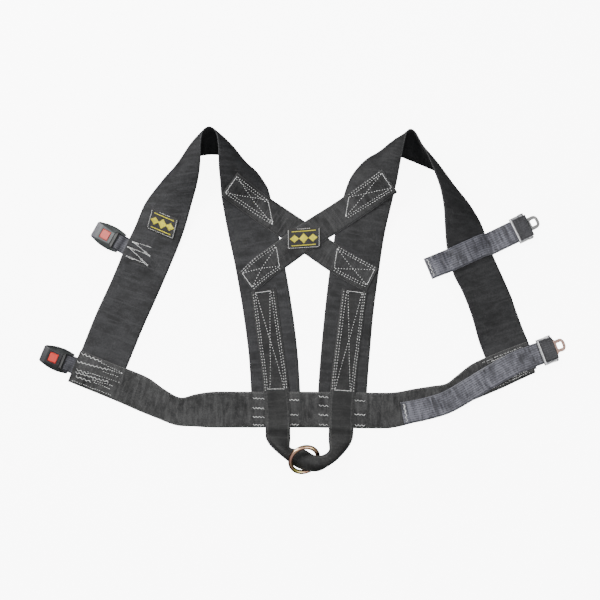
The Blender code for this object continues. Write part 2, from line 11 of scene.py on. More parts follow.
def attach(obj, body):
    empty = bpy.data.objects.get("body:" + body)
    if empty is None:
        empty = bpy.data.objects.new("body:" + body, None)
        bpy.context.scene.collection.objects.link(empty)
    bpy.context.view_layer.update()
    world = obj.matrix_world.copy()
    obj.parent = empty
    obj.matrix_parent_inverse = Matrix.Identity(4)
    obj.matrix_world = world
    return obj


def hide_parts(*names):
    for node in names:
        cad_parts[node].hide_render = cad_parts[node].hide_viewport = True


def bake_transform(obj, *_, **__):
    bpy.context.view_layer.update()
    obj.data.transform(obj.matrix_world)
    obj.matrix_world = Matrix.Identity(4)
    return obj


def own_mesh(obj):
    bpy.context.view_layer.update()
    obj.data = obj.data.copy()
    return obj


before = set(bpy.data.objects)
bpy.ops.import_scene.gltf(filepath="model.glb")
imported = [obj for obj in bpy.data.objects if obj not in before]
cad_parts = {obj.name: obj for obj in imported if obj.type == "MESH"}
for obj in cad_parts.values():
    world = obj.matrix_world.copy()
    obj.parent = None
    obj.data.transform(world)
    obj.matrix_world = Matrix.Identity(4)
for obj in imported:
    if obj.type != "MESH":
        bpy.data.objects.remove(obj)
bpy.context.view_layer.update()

# Lengths are millimetres in the laid-out vest's own frame until add_piece() turns them into metres.
MM = 0.001
SHIFT = Vector((-0.4, 5.6, 0.0))
STEP = 6.0          # spacing of the rows of a strap's mesh
rng = random.Random(11)

SHOULDER_W, SHOULDER_T = 101.6, 2.2
BELT_W, BELT_T = 76.2, 2.0
CROSS_W, CROSS_T = 55.5, 1.8
TOW_W, TOW_T = 50.8, 2.0
TAIL_W, BELTING_T = 46.0, 1.3
STUB_W = 35.0
GAP = 0.25                             # air between two sewn layers
ABOVE_ALL = 400.0                      # a height clear of everything, to look down from
OTHER_CLOTH = 700.0                    # how far apart two straps' patterns start, so none repeats
OTHER_FACE = 300.0                     # the same between a strap's two faces


# ---------------------------------------------------------------- camera, floor, light
def camera():
    """Straight above the vest, as it was photographed: 2.5 m up, 1.26 m across the picture."""
    height, across = 2.5, 1.26
    data = bpy.data.cameras.new("camera")
    data.sensor_width = 36.0
    data.lens = data.sensor_width * height / across
    cam = bpy.data.objects.new("camera", data)
    cam.location = (-0.0067, 0.0056, height)
    bpy.context.collection.objects.link(cam)
    bpy.context.scene.camera = cam


def area_light(name, where, size, power):
    data = bpy.data.lights.new(name, "AREA")
    data.shape = "RECTANGLE"
    data.size, data.size_y = size
    data.energy = power
    ob = bpy.data.objects.new(name, data)
    ob.location = where
    ob.rotation_mode = "QUATERNION"
    ob.rotation_quaternion = (-Vector(where)).to_track_quat("-Z", "Y")
    bpy.context.collection.objects.link(ob)


def studio():
    floor_material = bpy.data.materials.new("paper_floor")
    floor_material.use_nodes = True
    b = floor_material.node_tree.nodes["Principled BSDF"]
    b.inputs["Base Color"].default_value = (0.9, 0.9, 0.9, 1)
    b.inputs["Roughness"].default_value = 0.9
    b.inputs["Emission Color"].default_value = (1, 1, 1, 1)
    b.inputs["Emission Strength"].default_value = 8.0
    me = bpy.data.meshes.new("floor")
    r, z = 12.0, -4e-4
    me.from_pydata([(-r, -r, z), (r, -r, z), (r, r, z), (-r, r, z)], [], [(0, 1, 2, 3)])
    me.materials.append(floor_material)
    floor = bpy.data.objects.new("floor", me)
    floor.visible_diffuse = False
    floor.visible_glossy = False
    bpy.context.collection.objects.link(floor)
    world = bpy.data.worlds.new("studio")
    bpy.context.scene.world = world
    world.use_nodes = True
    background = world.node_tree.nodes["Background"]
    background.inputs["Strength"].default_value = 0.42
    tree = world.node_tree
    where = tree.nodes.new("ShaderNodeTexCoord")
    split = tree.nodes.new("ShaderNodeSeparateXYZ")
    ramp = tree.nodes.new("ShaderNodeValToRGB")
    ramp.color_ramp.elements[0].position = 0.15
    ramp.color_ramp.elements[0].color = (0.06, 0.06, 0.07, 1)
    ramp.color_ramp.elements[1].position = 0.75
    ramp.color_ramp.elements[1].color = (1.15, 1.17, 1.22, 1)
    tree.links.new(where.outputs["Generated"], split.inputs[0])
    tree.links.new(split.outputs["Z"], ramp.inputs["Fac"])
    tree.links.new(ramp.outputs["Color"], background.inputs["Color"])
    area_light("key", (-1.5, 1.3, 1.7), (1.2, 1.2), 80)
    area_light("fill", (1.7, -0.5, 1.7), (1.6, 1.2), 16)
    area_light("top", (0.0, 0.3, 2.9), (0.9, 0.9), 14)


# ---------------------------------------------------------------- materials
class Net:
    """A Principled material and short ways to add nodes to it."""

    def __init__(self, name, rough=0.5, metal=0.0, **sockets):
        self.material = bpy.data.materials.new(name)
        self.material.use_nodes = True
        self.tree = self.material.node_tree
        self.shader = self.tree.nodes["Principled BSDF"]
        self.set("Roughness", rough)
        self.set("Metallic", metal)
        for key, value in sockets.items():
            self.set(key.replace("_", " "), value)

    def set(self, socket, value):
        if isinstance(value, bpy.types.NodeSocket):
            self.tree.links.new(value, self.shader.inputs[socket])
        else:
            self.shader.inputs[socket].default_value = value

    def node(self, kind, inputs=(), out=0, **props):
        n = self.tree.nodes.new("ShaderNode" + kind)
        for key, value in props.items():
            setattr(n, key, value)
        for key, value in dict(inputs).items():
            if isinstance(value, bpy.types.NodeSocket):
                self.tree.links.new(value, n.inputs[key])
            else:
                n.inputs[key].default_value = value
        return n.outputs[out]

    def math(self, op, a, b=0.0, c=0.0):
        return self.node("Math", {0: a, 1: b, 2: c}, operation=op)

    def lay(self):
        """(along, across, distance from the selvedge) in millimetres."""
        vector = self.node("Attribute", out="Vector", attribute_name="lay")
        n = self.tree.nodes.new("ShaderNodeSeparateXYZ")
        self.tree.links.new(vector, n.inputs[0])
        return vector, n.outputs[0], n.outputs[1], n.outputs[2]

    def noise(self, vector, scale, detail=2.0, rough=0.5):
        return self.node("TexNoise", {"Vector": vector, "Scale": scale, "Detail": detail,
                                      "Roughness": rough}, out="Fac")

    def stretch(self, vector, x, y, z=0.0):
        return self.node("Mapping", {"Vector": vector, "Scale": (x, y, z)})

    def ramp(self, value, low, high, to_low=0.0, to_high=1.0):
        return self.node("MapRange", {"Value": value, "From Min": low, "From Max": high,
                                      "To Min": to_low, "To Max": to_high})

    def wave(self, value, pitch):
        """0 to 1 and back once every pitch."""
        turn = self.math("MULTIPLY", value, 2 * math.pi / pitch)
        return self.math("MULTIPLY_ADD", self.math("SINE", turn), 0.5, 0.5)

    def mix(self, factor, a, b):
        a = (*a, 1) if isinstance(a, tuple) else a
        b = (*b, 1) if isinstance(b, tuple) else b
        return self.node("Mix", {0: factor, 6: a, 7: b}, out=2, data_type="RGBA")

    def bump(self, height_mm, strength=1.0):
        self.set("Normal", self.node("Bump", {"Height": height_mm, "Distance": MM,
                                              "Strength": strength}))


def webbing_material(name, dark, light, scuff, ribs_along=0.0, ribs_across=0.0, rib_depth=0.1,
                     weave=1.7, speck=0.0, mottle=1.0, border=0.0, rough=0.72, sheen=0.06):
    """Woven nylon: ribs, a fine weave, uneven tone, scuffed fuzz and a darker selvedge.
    ribs_along run with the strap and ribs_across run over it; each is a pitch, or 0 for none.
    border is how much paler the cloth is in a narrow band inside the selvedge."""
    m = Net(name, rough=rough, Sheen_Weight=sheen, Sheen_Roughness=0.5)
    vector, along, across, edge = m.lay()
    broad = m.noise(m.stretch(vector, 0.013, 0.015), 1.0, 3.0, 0.6)
    patch = m.noise(m.stretch(vector, 0.07, 0.035), 1.0, 5.0, 0.7)
    crease = m.ramp(m.noise(m.stretch(vector, 0.12, 0.011), 1.0, 3.0, 0.55), 0.5, 0.64)
    fuzz = m.ramp(m.noise(m.stretch(vector, 0.27, 0.34), 1.0, 3.0, 0.7), 0.36, 0.64)
    tone = m.math("MULTIPLY_ADD", m.ramp(broad, 0.42, 0.6), 0.35 * mottle,
                  m.math("MULTIPLY", m.ramp(patch, 0.4, 0.62), 0.55 * mottle))
    tone = m.math("MULTIPLY_ADD", crease, 0.5 * mottle, tone)
    threads = m.math("MULTIPLY", m.wave(along, weave), m.wave(across, weave * 1.15))
    height = m.math("MULTIPLY", threads, 0.1)
    shade = m.math("MULTIPLY_ADD", threads, 0.15, m.math("MULTIPLY", fuzz, 0.6))
    for value, pitch in ((across, ribs_along), (along, ribs_across)):
        if pitch:
            wobble = m.math("MULTIPLY_ADD", patch, 0.8, value)
            rib = m.wave(wobble, pitch)
            height = m.math("MULTIPLY_ADD", rib, rib_depth, height)
            shade = m.math("MULTIPLY_ADD", rib, 0.4 + 1.2 * rib_depth, shade)
    colour = m.mix(m.math("MULTIPLY", tone, m.ramp(shade, 0.1, 1.0, 0.2, 1.5)), dark, light)
    worn = m.ramp(m.noise(m.stretch(vector, 0.03, 0.05), 1.0, 5.0, 0.75), 0.58, 0.78)
    worn = m.math("MULTIPLY", m.math("MULTIPLY", worn, fuzz), 0.55)
    colour = m.mix(worn, colour, scuff)
    if speck:
        dots = m.node("TexVoronoi", {"Vector": m.stretch(vector, 0.3, 0.42), "Scale": 1.0},
                      out="Distance")
        colour = m.mix(m.math("MULTIPLY", m.ramp(dots, 0.2, 0.05), speck), colour, scuff)
    if border:
        band = m.math("MULTIPLY", m.ramp(edge, 6.5, 5.0), fuzz)
        colour = m.mix(m.math("MULTIPLY", band, border), colour, scuff)
    selvedge = m.ramp(edge, 0.4, 2.2)
    colour = m.mix(m.math("MULTIPLY", m.ramp(edge, 3.0, 1.4), 0.5), colour, dark)
    picks = m.math("MULTIPLY", m.wave(along, 3.4), m.ramp(edge, 1.7, 0.6))
    colour = m.mix(m.math("MULTIPLY", picks, 0.6), colour, scuff)
    m.set("Base Color", colour)
    fibre = m.noise(m.stretch(vector, 1.4, 2.1), 1.0, 2.0, 0.6)
    height = m.math("MULTIPLY_ADD", fibre, 0.09, height)
    height = m.math("MULTIPLY_ADD", patch, 0.5, height)
    height = m.math("MULTIPLY_ADD", crease, 0.45, height)
    m.bump(m.math("MULTIPLY", height, selvedge), 0.8)
    return m.material


def thread_material(name, clean, soiled):
    m = Net(name, rough=0.6)
    where = m.node("TexCoord", out="Object")
    n = m.noise(where, 900.0, 2.0)
    dirt = m.noise(where, 60.0, 3.0)
    m.set("Base Color", m.mix(m.ramp(dirt, 0.35, 0.75), clean, soiled))
    m.bump(m.math("MULTIPLY", n, 0.15), 0.6)
    return m.material


def plastic_material(name, colour, worn, rough=0.42, grain=0.05):
    m = Net(name, rough=rough)
    where = m.node("TexCoord", out="Object")
    fine = m.noise(where, 2600.0, 2.0)
    broad = m.noise(where, 55.0, 4.0, 0.65)
    scratch = m.noise(m.stretch(where, 160.0, 900.0, 160.0), 1.0, 2.0, 0.7)
    tone = m.math("MULTIPLY_ADD", m.ramp(broad, 0.35, 0.75), 0.6,
                  m.ramp(scratch, 0.62, 0.8, 0.0, 0.35))
    m.set("Base Color", m.mix(tone, colour, worn))
    m.set("Roughness", m.ramp(broad, 0.3, 0.7, rough - 0.06, rough + 0.1))
    m.bump(m.math("MULTIPLY", fine, grain), 0.7)
    return m.material


def metal_material(name, bright, dull, rough):
    m = Net(name, rough=rough, metal=1.0)
    where = m.node("TexCoord", out="Object")
    broad = m.noise(where, 45.0, 4.0, 0.6)
    hair = m.noise(m.stretch(where, 140.0, 2200.0, 300.0), 1.0, 2.0, 0.6)
    m.set("Base Color", m.mix(m.ramp(broad, 0.35, 0.7), bright, dull))
    m.set("Roughness", m.math("MULTIPLY_ADD", hair, 0.1, m.ramp(broad, 0.3, 0.75, rough, rough + 0.14)))
    m.bump(m.math("MULTIPLY", hair, 0.01), 0.5)
    return m.material


def zinc_material():
    """Yellow chromate on steel: tan, rose and green drift over each other."""
    m = Net("yellow_zinc", rough=0.2, metal=1.0)
    where = m.node("TexCoord", out="Object")
    a = m.noise(where, 26.0, 2.0)
    b = m.noise(where, 41.0, 3.0)
    c = m.mix(m.ramp(a, 0.4, 0.62), (0.82, 0.55, 0.32), (0.80, 0.42, 0.33))
    c = m.mix(m.ramp(b, 0.5, 0.66), c, (0.66, 0.62, 0.16))
    m.set("Base Color", c)
    m.set("Roughness", m.ramp(m.noise(where, 300.0, 3.0), 0.3, 0.7, 0.16, 0.3))
    m.bump(m.math("MULTIPLY", m.noise(where, 700.0, 2.0), 0.03), 0.5)
    return m.material


NYLON = webbing_material("charcoal_nylon", (0.004, 0.004, 0.0042), (0.028, 0.028, 0.029),
                         (0.12, 0.12, 0.12), ribs_across=2.2, rib_depth=0.05, weave=1.6, mottle=1.15)
COLUMN = webbing_material("charcoal_nylon_front", (0.004, 0.004, 0.0043), (0.03, 0.03, 0.032),
                          (0.12, 0.12, 0.125), ribs_across=2.2, rib_depth=0.05, weave=1.6, mottle=1.25)
BELT = webbing_material("belt_nylon", (0.004, 0.004, 0.0039), (0.056, 0.056, 0.055),
                        (0.2, 0.2, 0.195), ribs_across=2.6, rib_depth=0.12, weave=2.1,
                        speck=0.7, mottle=1.1)
CROSS = webbing_material("cross_nylon", (0.004, 0.004, 0.004), (0.04, 0.04, 0.04),
                         (0.16, 0.16, 0.16), ribs_across=2.8, rib_depth=0.26, weave=1.4, mottle=1.1)
TOW = webbing_material("tow_nylon", (0.004, 0.004, 0.0039), (0.025, 0.025, 0.024),
                       (0.11, 0.11, 0.108), ribs_across=1.9, rib_depth=0.06, weave=1.5, speck=0.15,
                       border=0.45)
BELTING = webbing_material("seat_belt_webbing", (0.022, 0.022, 0.028), (0.17, 0.17, 0.2),
                           (0.3, 0.3, 0.34), ribs_along=4.6, rib_depth=0.24, weave=1.2,
                           rough=0.4, sheen=0.15)
# A darker copy of the tail's seat-belt webbing: painted shade for the loop inside the adjuster.
WEBBING_PAINTED_SHADE = webbing_material("seat_belt_webbing_painted_shade", (0.01, 0.01, 0.011), (0.05, 0.05, 0.056),
                        (0.15, 0.15, 0.17), ribs_along=4.6, rib_depth=0.12, weave=1.2,
                        rough=0.36, sheen=0.1)
STUB = webbing_material("buckle_belting", (0.015, 0.015, 0.019), (0.085, 0.085, 0.1),
                        (0.2, 0.2, 0.22), ribs_along=4.6, rib_depth=0.2, weave=1.2,
                        rough=0.42, sheen=0.1)
LABEL = webbing_material("woven_label", (0.012, 0.012, 0.012), (0.035, 0.033, 0.03),
                         (0.08, 0.08, 0.08), ribs_across=0.9, rib_depth=0.03, weave=0.8)
THREAD = thread_material("white_polyester_thread", (0.93, 0.93, 0.91), (0.6, 0.6, 0.59))
GREY_THREAD = thread_material("grey_polyester_thread", (0.22, 0.22, 0.22), (0.1, 0.1, 0.1))
YELLOW = thread_material("yellow_embroidery_thread", (0.85, 0.76, 0.05), (0.6, 0.52, 0.03))
RED = plastic_material("button_red", (0.72, 0.045, 0.03), (0.62, 0.08, 0.06), 0.35, 0.02)
# A paler copy of the button red: painted reflection for the chest buckle's button.
RED_PAINTED_SHEEN = plastic_material("button_red_painted_sheen", (0.78, 0.17, 0.14), (0.7, 0.11, 0.1), 0.35, 0.02)
BLACK = plastic_material("black_plastic", (0.008, 0.008, 0.008), (0.015, 0.015, 0.015), 0.5)
CHROME = metal_material("chrome", (0.8, 0.8, 0.8), (0.62, 0.62, 0.62), 0.12)
STEEL = metal_material("grey_steel", (0.34, 0.34, 0.33), (0.24, 0.24, 0.235), 0.28)
COPPERY = metal_material("coppery_steel", (0.5, 0.32, 0.26), (0.4, 0.26, 0.22), 0.3)
ZINC = zinc_material()


# ---------------------------------------------------------------- meshes
def add_piece(name, verts, faces, material, body=None, lay=None, sharp=40.0):
    """A shaded mesh object from millimetre points; it rides on body unless body is None."""
    me = bpy.data.meshes.new(name)
    me.from_pydata([(Vector(v) + SHIFT) * MM for v in verts], [], faces)
    me.materials.append(material)
    if lay is not None:
        a = me.attributes.new("lay", "FLOAT_VECTOR", "POINT")
        a.data.foreach_set("vector", np.asarray(lay, np.float32).ravel())
    ob = bpy.data.objects.new(name, me)
    bpy.context.collection.objects.link(ob)
    tidy_shading(me, sharp)
    if body:
        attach(ob, body)
    return ob


def tidy_shading(me, sharp):
    bm = bmesh.new()
    bm.from_mesh(me)
    bmesh.ops.recalc_face_normals(bm, faces=bm.faces)
    for f in bm.faces:
        f.smooth = True
    for e in bm.edges:
        e.smooth = len(e.link_faces) == 2 and e.calc_face_angle(0.0) < math.radians(sharp)
    bm.to_mesh(me)
    bm.free()


def tree_of(ob):
    return BVHTree.FromPolygons([Vector(v.co) / MM - SHIFT for v in ob.data.vertices],
                                [tuple(p.vertices) for p in ob.data.polygons])


def grid_faces(rows, sides, closed=False):
    """Quads between rings of points; closed joins the last ring to the first."""
    faces = []
    for i in range(rows if closed else rows - 1):
        o, p = i * sides, (i + 1) % rows * sides
        faces += [(o + k, o + (k + 1) % sides, p + (k + 1) % sides, p + k) for k in range(sides)]
    return faces


def between(a, b, c, d, t):
    """A smooth curve from b to c, with a and d on either side."""
    return 0.5 * (2 * b + (c - a) * t + (2 * a - 5 * b + 4 * c - d) * t * t
                  + (3 * b - a - 3 * c + d) * t ** 3)


def strip_columns(width):
    return max(5, int(width / (STEP * 0.9)) | 1)


def flow(stations, step):
    """Smooth path through a few given (edge, edge, bulge) stations."""
    p = np.array([[*q[0], *q[1], q[2] if len(q) > 2 else 0.0] for q in stations], float)
    mid = (p[:, :3] + p[:, 3:6]) / 2
    p = np.vstack([2 * p[0] - p[1], p, 2 * p[-1] - p[-2]])
    out = []
    for i in range(len(mid) - 1):
        n = max(1, int(round(np.linalg.norm(mid[i + 1] - mid[i]) / step)))
        out += [between(*p[i:i + 4], k / n) for k in range(n)]
    out.append(p[-2])
    return np.array(out)


def route(centres, width):
    """Stations from centre points, width taken level and square to the run."""
    c = [Vector(p) for p in centres]
    out = []
    for i, p in enumerate(c):
        d = c[min(i + 1, len(c) - 1)] - c[max(i - 1, 0)]
        w = Vector((-d.y, d.x, 0)).normalized() * width / 2
        out.append((tuple(p + w), tuple(p - w)))
    return out


def surface(stations, width, cup=0.0, step=None):
    """The middle surface of a strap as rows of points across it."""
    p = flow(stations, step or STEP)
    a, b, bulge = p[:, :3], p[:, 3:6], p[:, 6]
    c, d = (a + b) / 2, b - a
    chord = np.linalg.norm(d, axis=1)
    d /= chord[:, None]
    u = np.linspace(-0.5, 0.5, strip_columns(width))
    span = np.minimum(width * (1 - 2.67 * (bulge / width) ** 2), chord)
    grid = c[:, None, :] + d[:, None, :] * (u[None, :, None] * span[:, None, None])
    up = np.cross(np.gradient(c, axis=0), d)
    up /= np.linalg.norm(up, axis=1)[:, None]
    up *= np.sign(up[:, 2:3].sum())
    sag = bulge + cup * span * np.sqrt(0.375 * np.maximum(width / span - 1.0, 0.0))
    return grid + up[:, None, :] * (sag[:, None] * (1 - 4 * u[None, :] ** 2))[..., None]


def rest(grid, under, thick, soften=4):
    """Raises a strap's middle surface until it clears what it lies on, then eases the steps."""
    n, m = grid.shape[:2]
    fine = np.zeros((2 * n - 1, 2 * m - 1, 3))
    fine[::2, ::2] = grid
    fine[1::2, ::2] = (grid[1:] + grid[:-1]) / 2
    fine[:, 1::2] = (fine[:, :-2:2] + fine[:, 2::2]) / 2
    trees = [tree_of(o) for o in under]
    need = np.zeros(fine.shape[:2])
    down = Vector((0, 0, -1))
    for i in range(need.shape[0]):
        for j in range(need.shape[1]):
            top = Vector((fine[i, j, 0], fine[i, j, 1], ABOVE_ALL))
            for t in trees:
                hit = t.ray_cast(top, down)[0]
                if hit is not None:
                    need[i, j] = max(need[i, j], hit.z)
    padded = np.pad(need, 2, constant_values=0.0)
    most = need.copy()
    for di in range(5):
        for dj in range(5):
            most = np.maximum(most, padded[di:di + need.shape[0], dj:dj + need.shape[1]])
    h = np.maximum(grid[..., 2], most[::2, ::2] + GAP + thick / 2)
    for _ in range(soften):
        s = h.copy()
        s[1:-1] = (h[:-2] + h[2:]) / 2
        s[:, 1:-1] = (s[:, 1:-1] * 2 + h[:, :-2] + h[:, 2:]) / 4
        h = np.maximum(h, (h + s) / 2)
    out = grid.copy()
    out[..., 2] = h
    return out


def crumple(grid, amount, size, seed):
    """Soft unevenness, upwards only."""
    out = grid.copy()
    for i in range(grid.shape[0]):
        for j in range(grid.shape[1]):
            p = Vector(grid[i, j]) / size + Vector((seed, 0, 0))
            out[i, j, 2] += amount * (0.5 + 0.5 * noise.noise(p))
    return out


def pucker(grid, places):
    """Ridges across a strap where it bends: (distance along, height, spread, wave length)."""
    out = grid.copy()
    centre = grid[:, grid.shape[1] // 2]
    along = np.concatenate([[0], np.cumsum(np.linalg.norm(np.diff(centre, axis=0), axis=1))])
    v = np.linspace(-1, 1, grid.shape[1])
    for s0, height, spread, wave in places:
        d = along[:, None] - s0 - 3.0 * v[None, :]
        out[..., 2] += height * np.exp(-(d / spread) ** 2) * (0.5 + 0.5 * np.cos(2 * math.pi * d / wave))
    return out


def normals_of(grid):
    n = np.cross(np.gradient(grid, axis=0), np.gradient(grid, axis=1))
    n /= np.maximum(np.linalg.norm(n, axis=2), 1e-9)[..., None]
    return n if n[0, :, 2].sum() >= 0 else -n


class Strap:
    """A woven strap: its middle surface, and where a place on its face is."""

    count = 0

    def __init__(self, name, grid, width, thick, material, body="harness"):
        self.grid, self.width, self.thick = grid, width, thick
        self.normal = normals_of(grid)
        centre = grid[:, grid.shape[1] // 2]
        self.along = np.concatenate([[0], np.cumsum(np.linalg.norm(np.diff(centre, axis=0), axis=1))])
        self.object = self.build(name, material, body)

    def build(self, name, material, body):
        grid, nrm, t = self.grid, self.normal, self.thick
        n, m = grid.shape[:2]
        Strap.count += 1
        across = np.linspace(-0.5, 0.5, m) * self.width
        side = grid[:, -1] - grid[:, 0]
        side /= np.linalg.norm(side, axis=1)[:, None]
        ring = 2 * m + 2
        verts, lay = [], []
        for i in range(n):
            x = self.along[i] + OTHER_CLOTH * Strap.count
            top = grid[i] + nrm[i] * t / 2
            low = grid[i] - nrm[i] * t / 2
            verts += [*top, grid[i, -1] + side[i] * t * 0.4, *low[::-1], grid[i, 0] - side[i] * t * 0.4]
            face = [(x, y, self.width / 2 - abs(y)) for y in across]
            lay += [*face, (x, across[-1], -0.5),
                    *[(q[0], q[1] + OTHER_FACE, q[2]) for q in face[::-1]],
                    (x, across[0], -0.5)]
        faces = grid_faces(n, ring)
        for i in (0, n - 1):
            faces.append(tuple(i * ring + k for k in range(ring)))
        return add_piece(name, verts, faces, material, body, lay, sharp=75)

    def spot(self, s, v, lift=0.0):
        """The point on the upper face s along and v across, and the normal there."""
        i = float(np.interp(s, self.along, range(len(self.along))))
        j = (v / self.width + 0.5) * (self.grid.shape[1] - 1)
        i0 = min(int(i), self.grid.shape[0] - 2)
        j0 = min(max(int(j), 0), self.grid.shape[1] - 2)
        a, b = i - i0, j - j0
        w = ((1 - a) * (1 - b), (1 - a) * b, a * (1 - b), a * b)
        cells = ((i0, j0), (i0, j0 + 1), (i0 + 1, j0), (i0 + 1, j0 + 1))
        p = sum(self.grid[c] * k for c, k in zip(cells, w))
        nrm = sum(self.normal[c] * k for c, k in zip(cells, w))
        nrm /= np.linalg.norm(nrm)
        return p + nrm * (self.thick / 2 + lift), nrm


# ---------------------------------------------------------------- stitches
class Sewing:
    """Rows of real thread on the face of a strap, collected into one piece."""

    def __init__(self, name, strap, thread=1.4, pitch=6.0, stitch=2.5, material=None):
        self.name, self.strap = name, strap
        self.material = material or THREAD
        self.thread, self.pitch, self.stitch = thread, pitch, stitch
        self.verts, self.faces = [], []

    def bead(self, a, b):
        """One stitch from (s, v) a to b: it dips into the cloth at both ends."""
        sides, shape = 6, ((0.0, -0.25, 0.45), (0.18, 0.28, 0.95), (0.5, 0.42, 1.0),
                           (0.82, 0.28, 0.95), (1.0, -0.25, 0.45))
        r = self.thread / 2
        ends = [self.strap.spot(*a)[0], self.strap.spot(*b)[0]]
        run = ends[1] - ends[0]
        run /= max(np.linalg.norm(run), 1e-6)
        k = len(self.verts)
        for t, lift, size in shape:
            p, nrm = self.strap.spot(a[0] + (b[0] - a[0]) * t, a[1] + (b[1] - a[1]) * t, lift * r)
            wide = np.cross(run, nrm)
            for q in range(sides):
                c = 2 * math.pi * q / sides
                self.verts.append(p + (wide * math.cos(c) + nrm * math.sin(c)) * r * size)
        self.faces += [tuple(k + q for q in f) for f in grid_faces(len(shape), sides)]
        self.faces.append(tuple(k + q for q in range(sides)))
        self.faces.append(tuple(k + (len(shape) - 1) * sides + q for q in range(sides)))

    def row(self, points, pitch=None, stitch=None, wander=0.25):
        """A row of stitches through (s, v) points."""
        pitch, stitch = pitch or self.pitch, stitch or self.stitch
        for (s0, v0), (s1, v1) in zip(points[:-1], points[1:]):
            length = math.hypot(s1 - s0, v1 - v0)
            n = max(1, int(round(length / pitch)))
            share = stitch / pitch
            for k in range(n):
                a, b = (k + (1 - share) / 2) / n, (k + (1 + share) / 2) / n
                w = [rng.uniform(-wander, wander) for _ in range(4)]
                self.bead((s0 + (s1 - s0) * a + w[0], v0 + (v1 - v0) * a + w[1]),
                          (s0 + (s1 - s0) * b + w[2], v0 + (v1 - v0) * b + w[3]))
        return self

    def dense(self, points):
        """A back-tacked row, where the stitches nearly touch."""
        return self.row(points, 3.4, 3.1, 0.3)

    def zigzag(self, a, b, width, pitch):
        """Bar tack from a to b, the needle swinging width across it."""
        (s0, v0), (s1, v1) = a, b
        length = math.hypot(s1 - s0, v1 - v0)
        across = ((v0 - v1) / length * width / 2, (s1 - s0) / length * width / 2)
        n = max(2, int(length / pitch))
        points = []
        for k in range(n + 1):
            side = 1 if k % 2 else -1
            t = k / n
            points.append((s0 + (s1 - s0) * t + across[0] * side,
                           v0 + (v1 - v0) * t + across[1] * side))
        return self.row(points, 4.0, 4.2, 0.25)

    def satin(self, points, width):
        """A band of threads laid side by side across a line, as an embroidery machine fills it."""
        for (s0, v0), (s1, v1) in zip(points[:-1], points[1:]):
            length = math.hypot(s1 - s0, v1 - v0)
            across = ((v0 - v1) / length * width / 2, (s1 - s0) / length * width / 2)
            n = max(1, int(length / 0.9))
            for k in range(n + 1):
                s, v = s0 + (s1 - s0) * k / n, v0 + (v1 - v0) * k / n
                self.bead((s + across[0], v + across[1]), (s - across[0], v - across[1]))
        return self

    def box(self, corners, crossed=True, doubled=0.0):
        """A box stitch round four (s, v) corners, its two ends back-tacked, with a cross inside."""
        a, b, c, d = corners                   # a-b is one end and d-c the other
        self.dense([a, b]).dense([d, c]).row([a, d]).row([b, c])
        if crossed:
            self.row([a, c]).row([b, d])
        if doubled:
            for p, q in ((a, d), (b, c)):
                out = doubled * (1 if p[1] > 0 else -1)
                self.row([(p[0] + 1, p[1] + out), (q[0] - 1, q[1] + out)])
        return self

    def done(self, body="harness"):
        return add_piece(self.name, self.verts, self.faces, self.material, body, sharp=80)


# ---------------------------------------------------------------- straps
BELT_RUN = [((-466, -106, 0), (-493, -170, 0)), ((-401, -133, 0), (-426, -197, 0)),
            ((-351, -152, 0), (-376, -218, 0)), ((-321, -166, 0), (-342, -233, 0)),
            ((-292, -187, 0), (-307, -247, 0)), ((-258, -205, 0), (-267, -262, 0)),
            ((-225, -198, 0), (-227, -265, 0)), ((-187, -193, 0), (-189, -267, 0)),
            ((-124, -193, 0), (-124, -267, 0)), ((2, -193, 0), (2, -267, 0)),
            ((153, -195, 0), (153, -269, 0)), ((195, -194, 0), (191, -267, 0)),
            ((233, -187, 0), (225, -259, 0)), ((271, -181, 0), (267, -248, 0)),
            ((300, -176, 0), (307, -234, 0)), ((323, -159, 0), (342, -216, 0)),
            ((353, -136, 0), (380, -200, 0)), ((393, -117, 0), (420, -183, 0)),
            ((430, -102, 0), (454, -167, 0)), ((468, -88, 0), (487, -152, 0))]
LEFT = [((-105, -262, 0), (-4, -256, 0)), ((-109, -185, 0), (-7, -178, 0)),
        ((-114, -109, 0), (-13, -99, 0)), ((-126, -21, 0), (-25, -6, 0)),
        ((-141, 67, 0), (-41, 84, 0)), ((-157, 142, 7), (-57, 162, 0), 1),
        ((-168, 203, 24), (-70, 224, 1), 4), ((-171, 246, 50), (-82, 249, 2), 9),
        ((-172, 281, 72), (-106, 277, 3), 13), ((-172, 317, 88), (-139, 296, 3), 15),
        ((-177, 342, 94), (-168, 302, 3), 13), ((-190, 352, 96), (-192, 303, 3), 11),
        ((-203, 342, 93), (-217, 301, 3), 13), ((-208, 317, 86), (-242, 297, 3), 14),
        ((-210, 280, 70), (-276, 271, 3), 12), ((-218, 242, 46), (-307, 235, 3), 8),
        ((-232, 200, 23), (-331, 202, 3), 4), ((-250, 141, 8), (-352, 155, 3), 1),
        ((-276, 79, 2), (-373, 108, 2)), ((-308, 5, 0), (-404, 35, 0)),
        ((-335, -55, 0), (-431, -23, 0)), ((-358, -111, 0), (-453, -77, 0)),
        ((-384, -176, 0), (-478, -142, 0))]
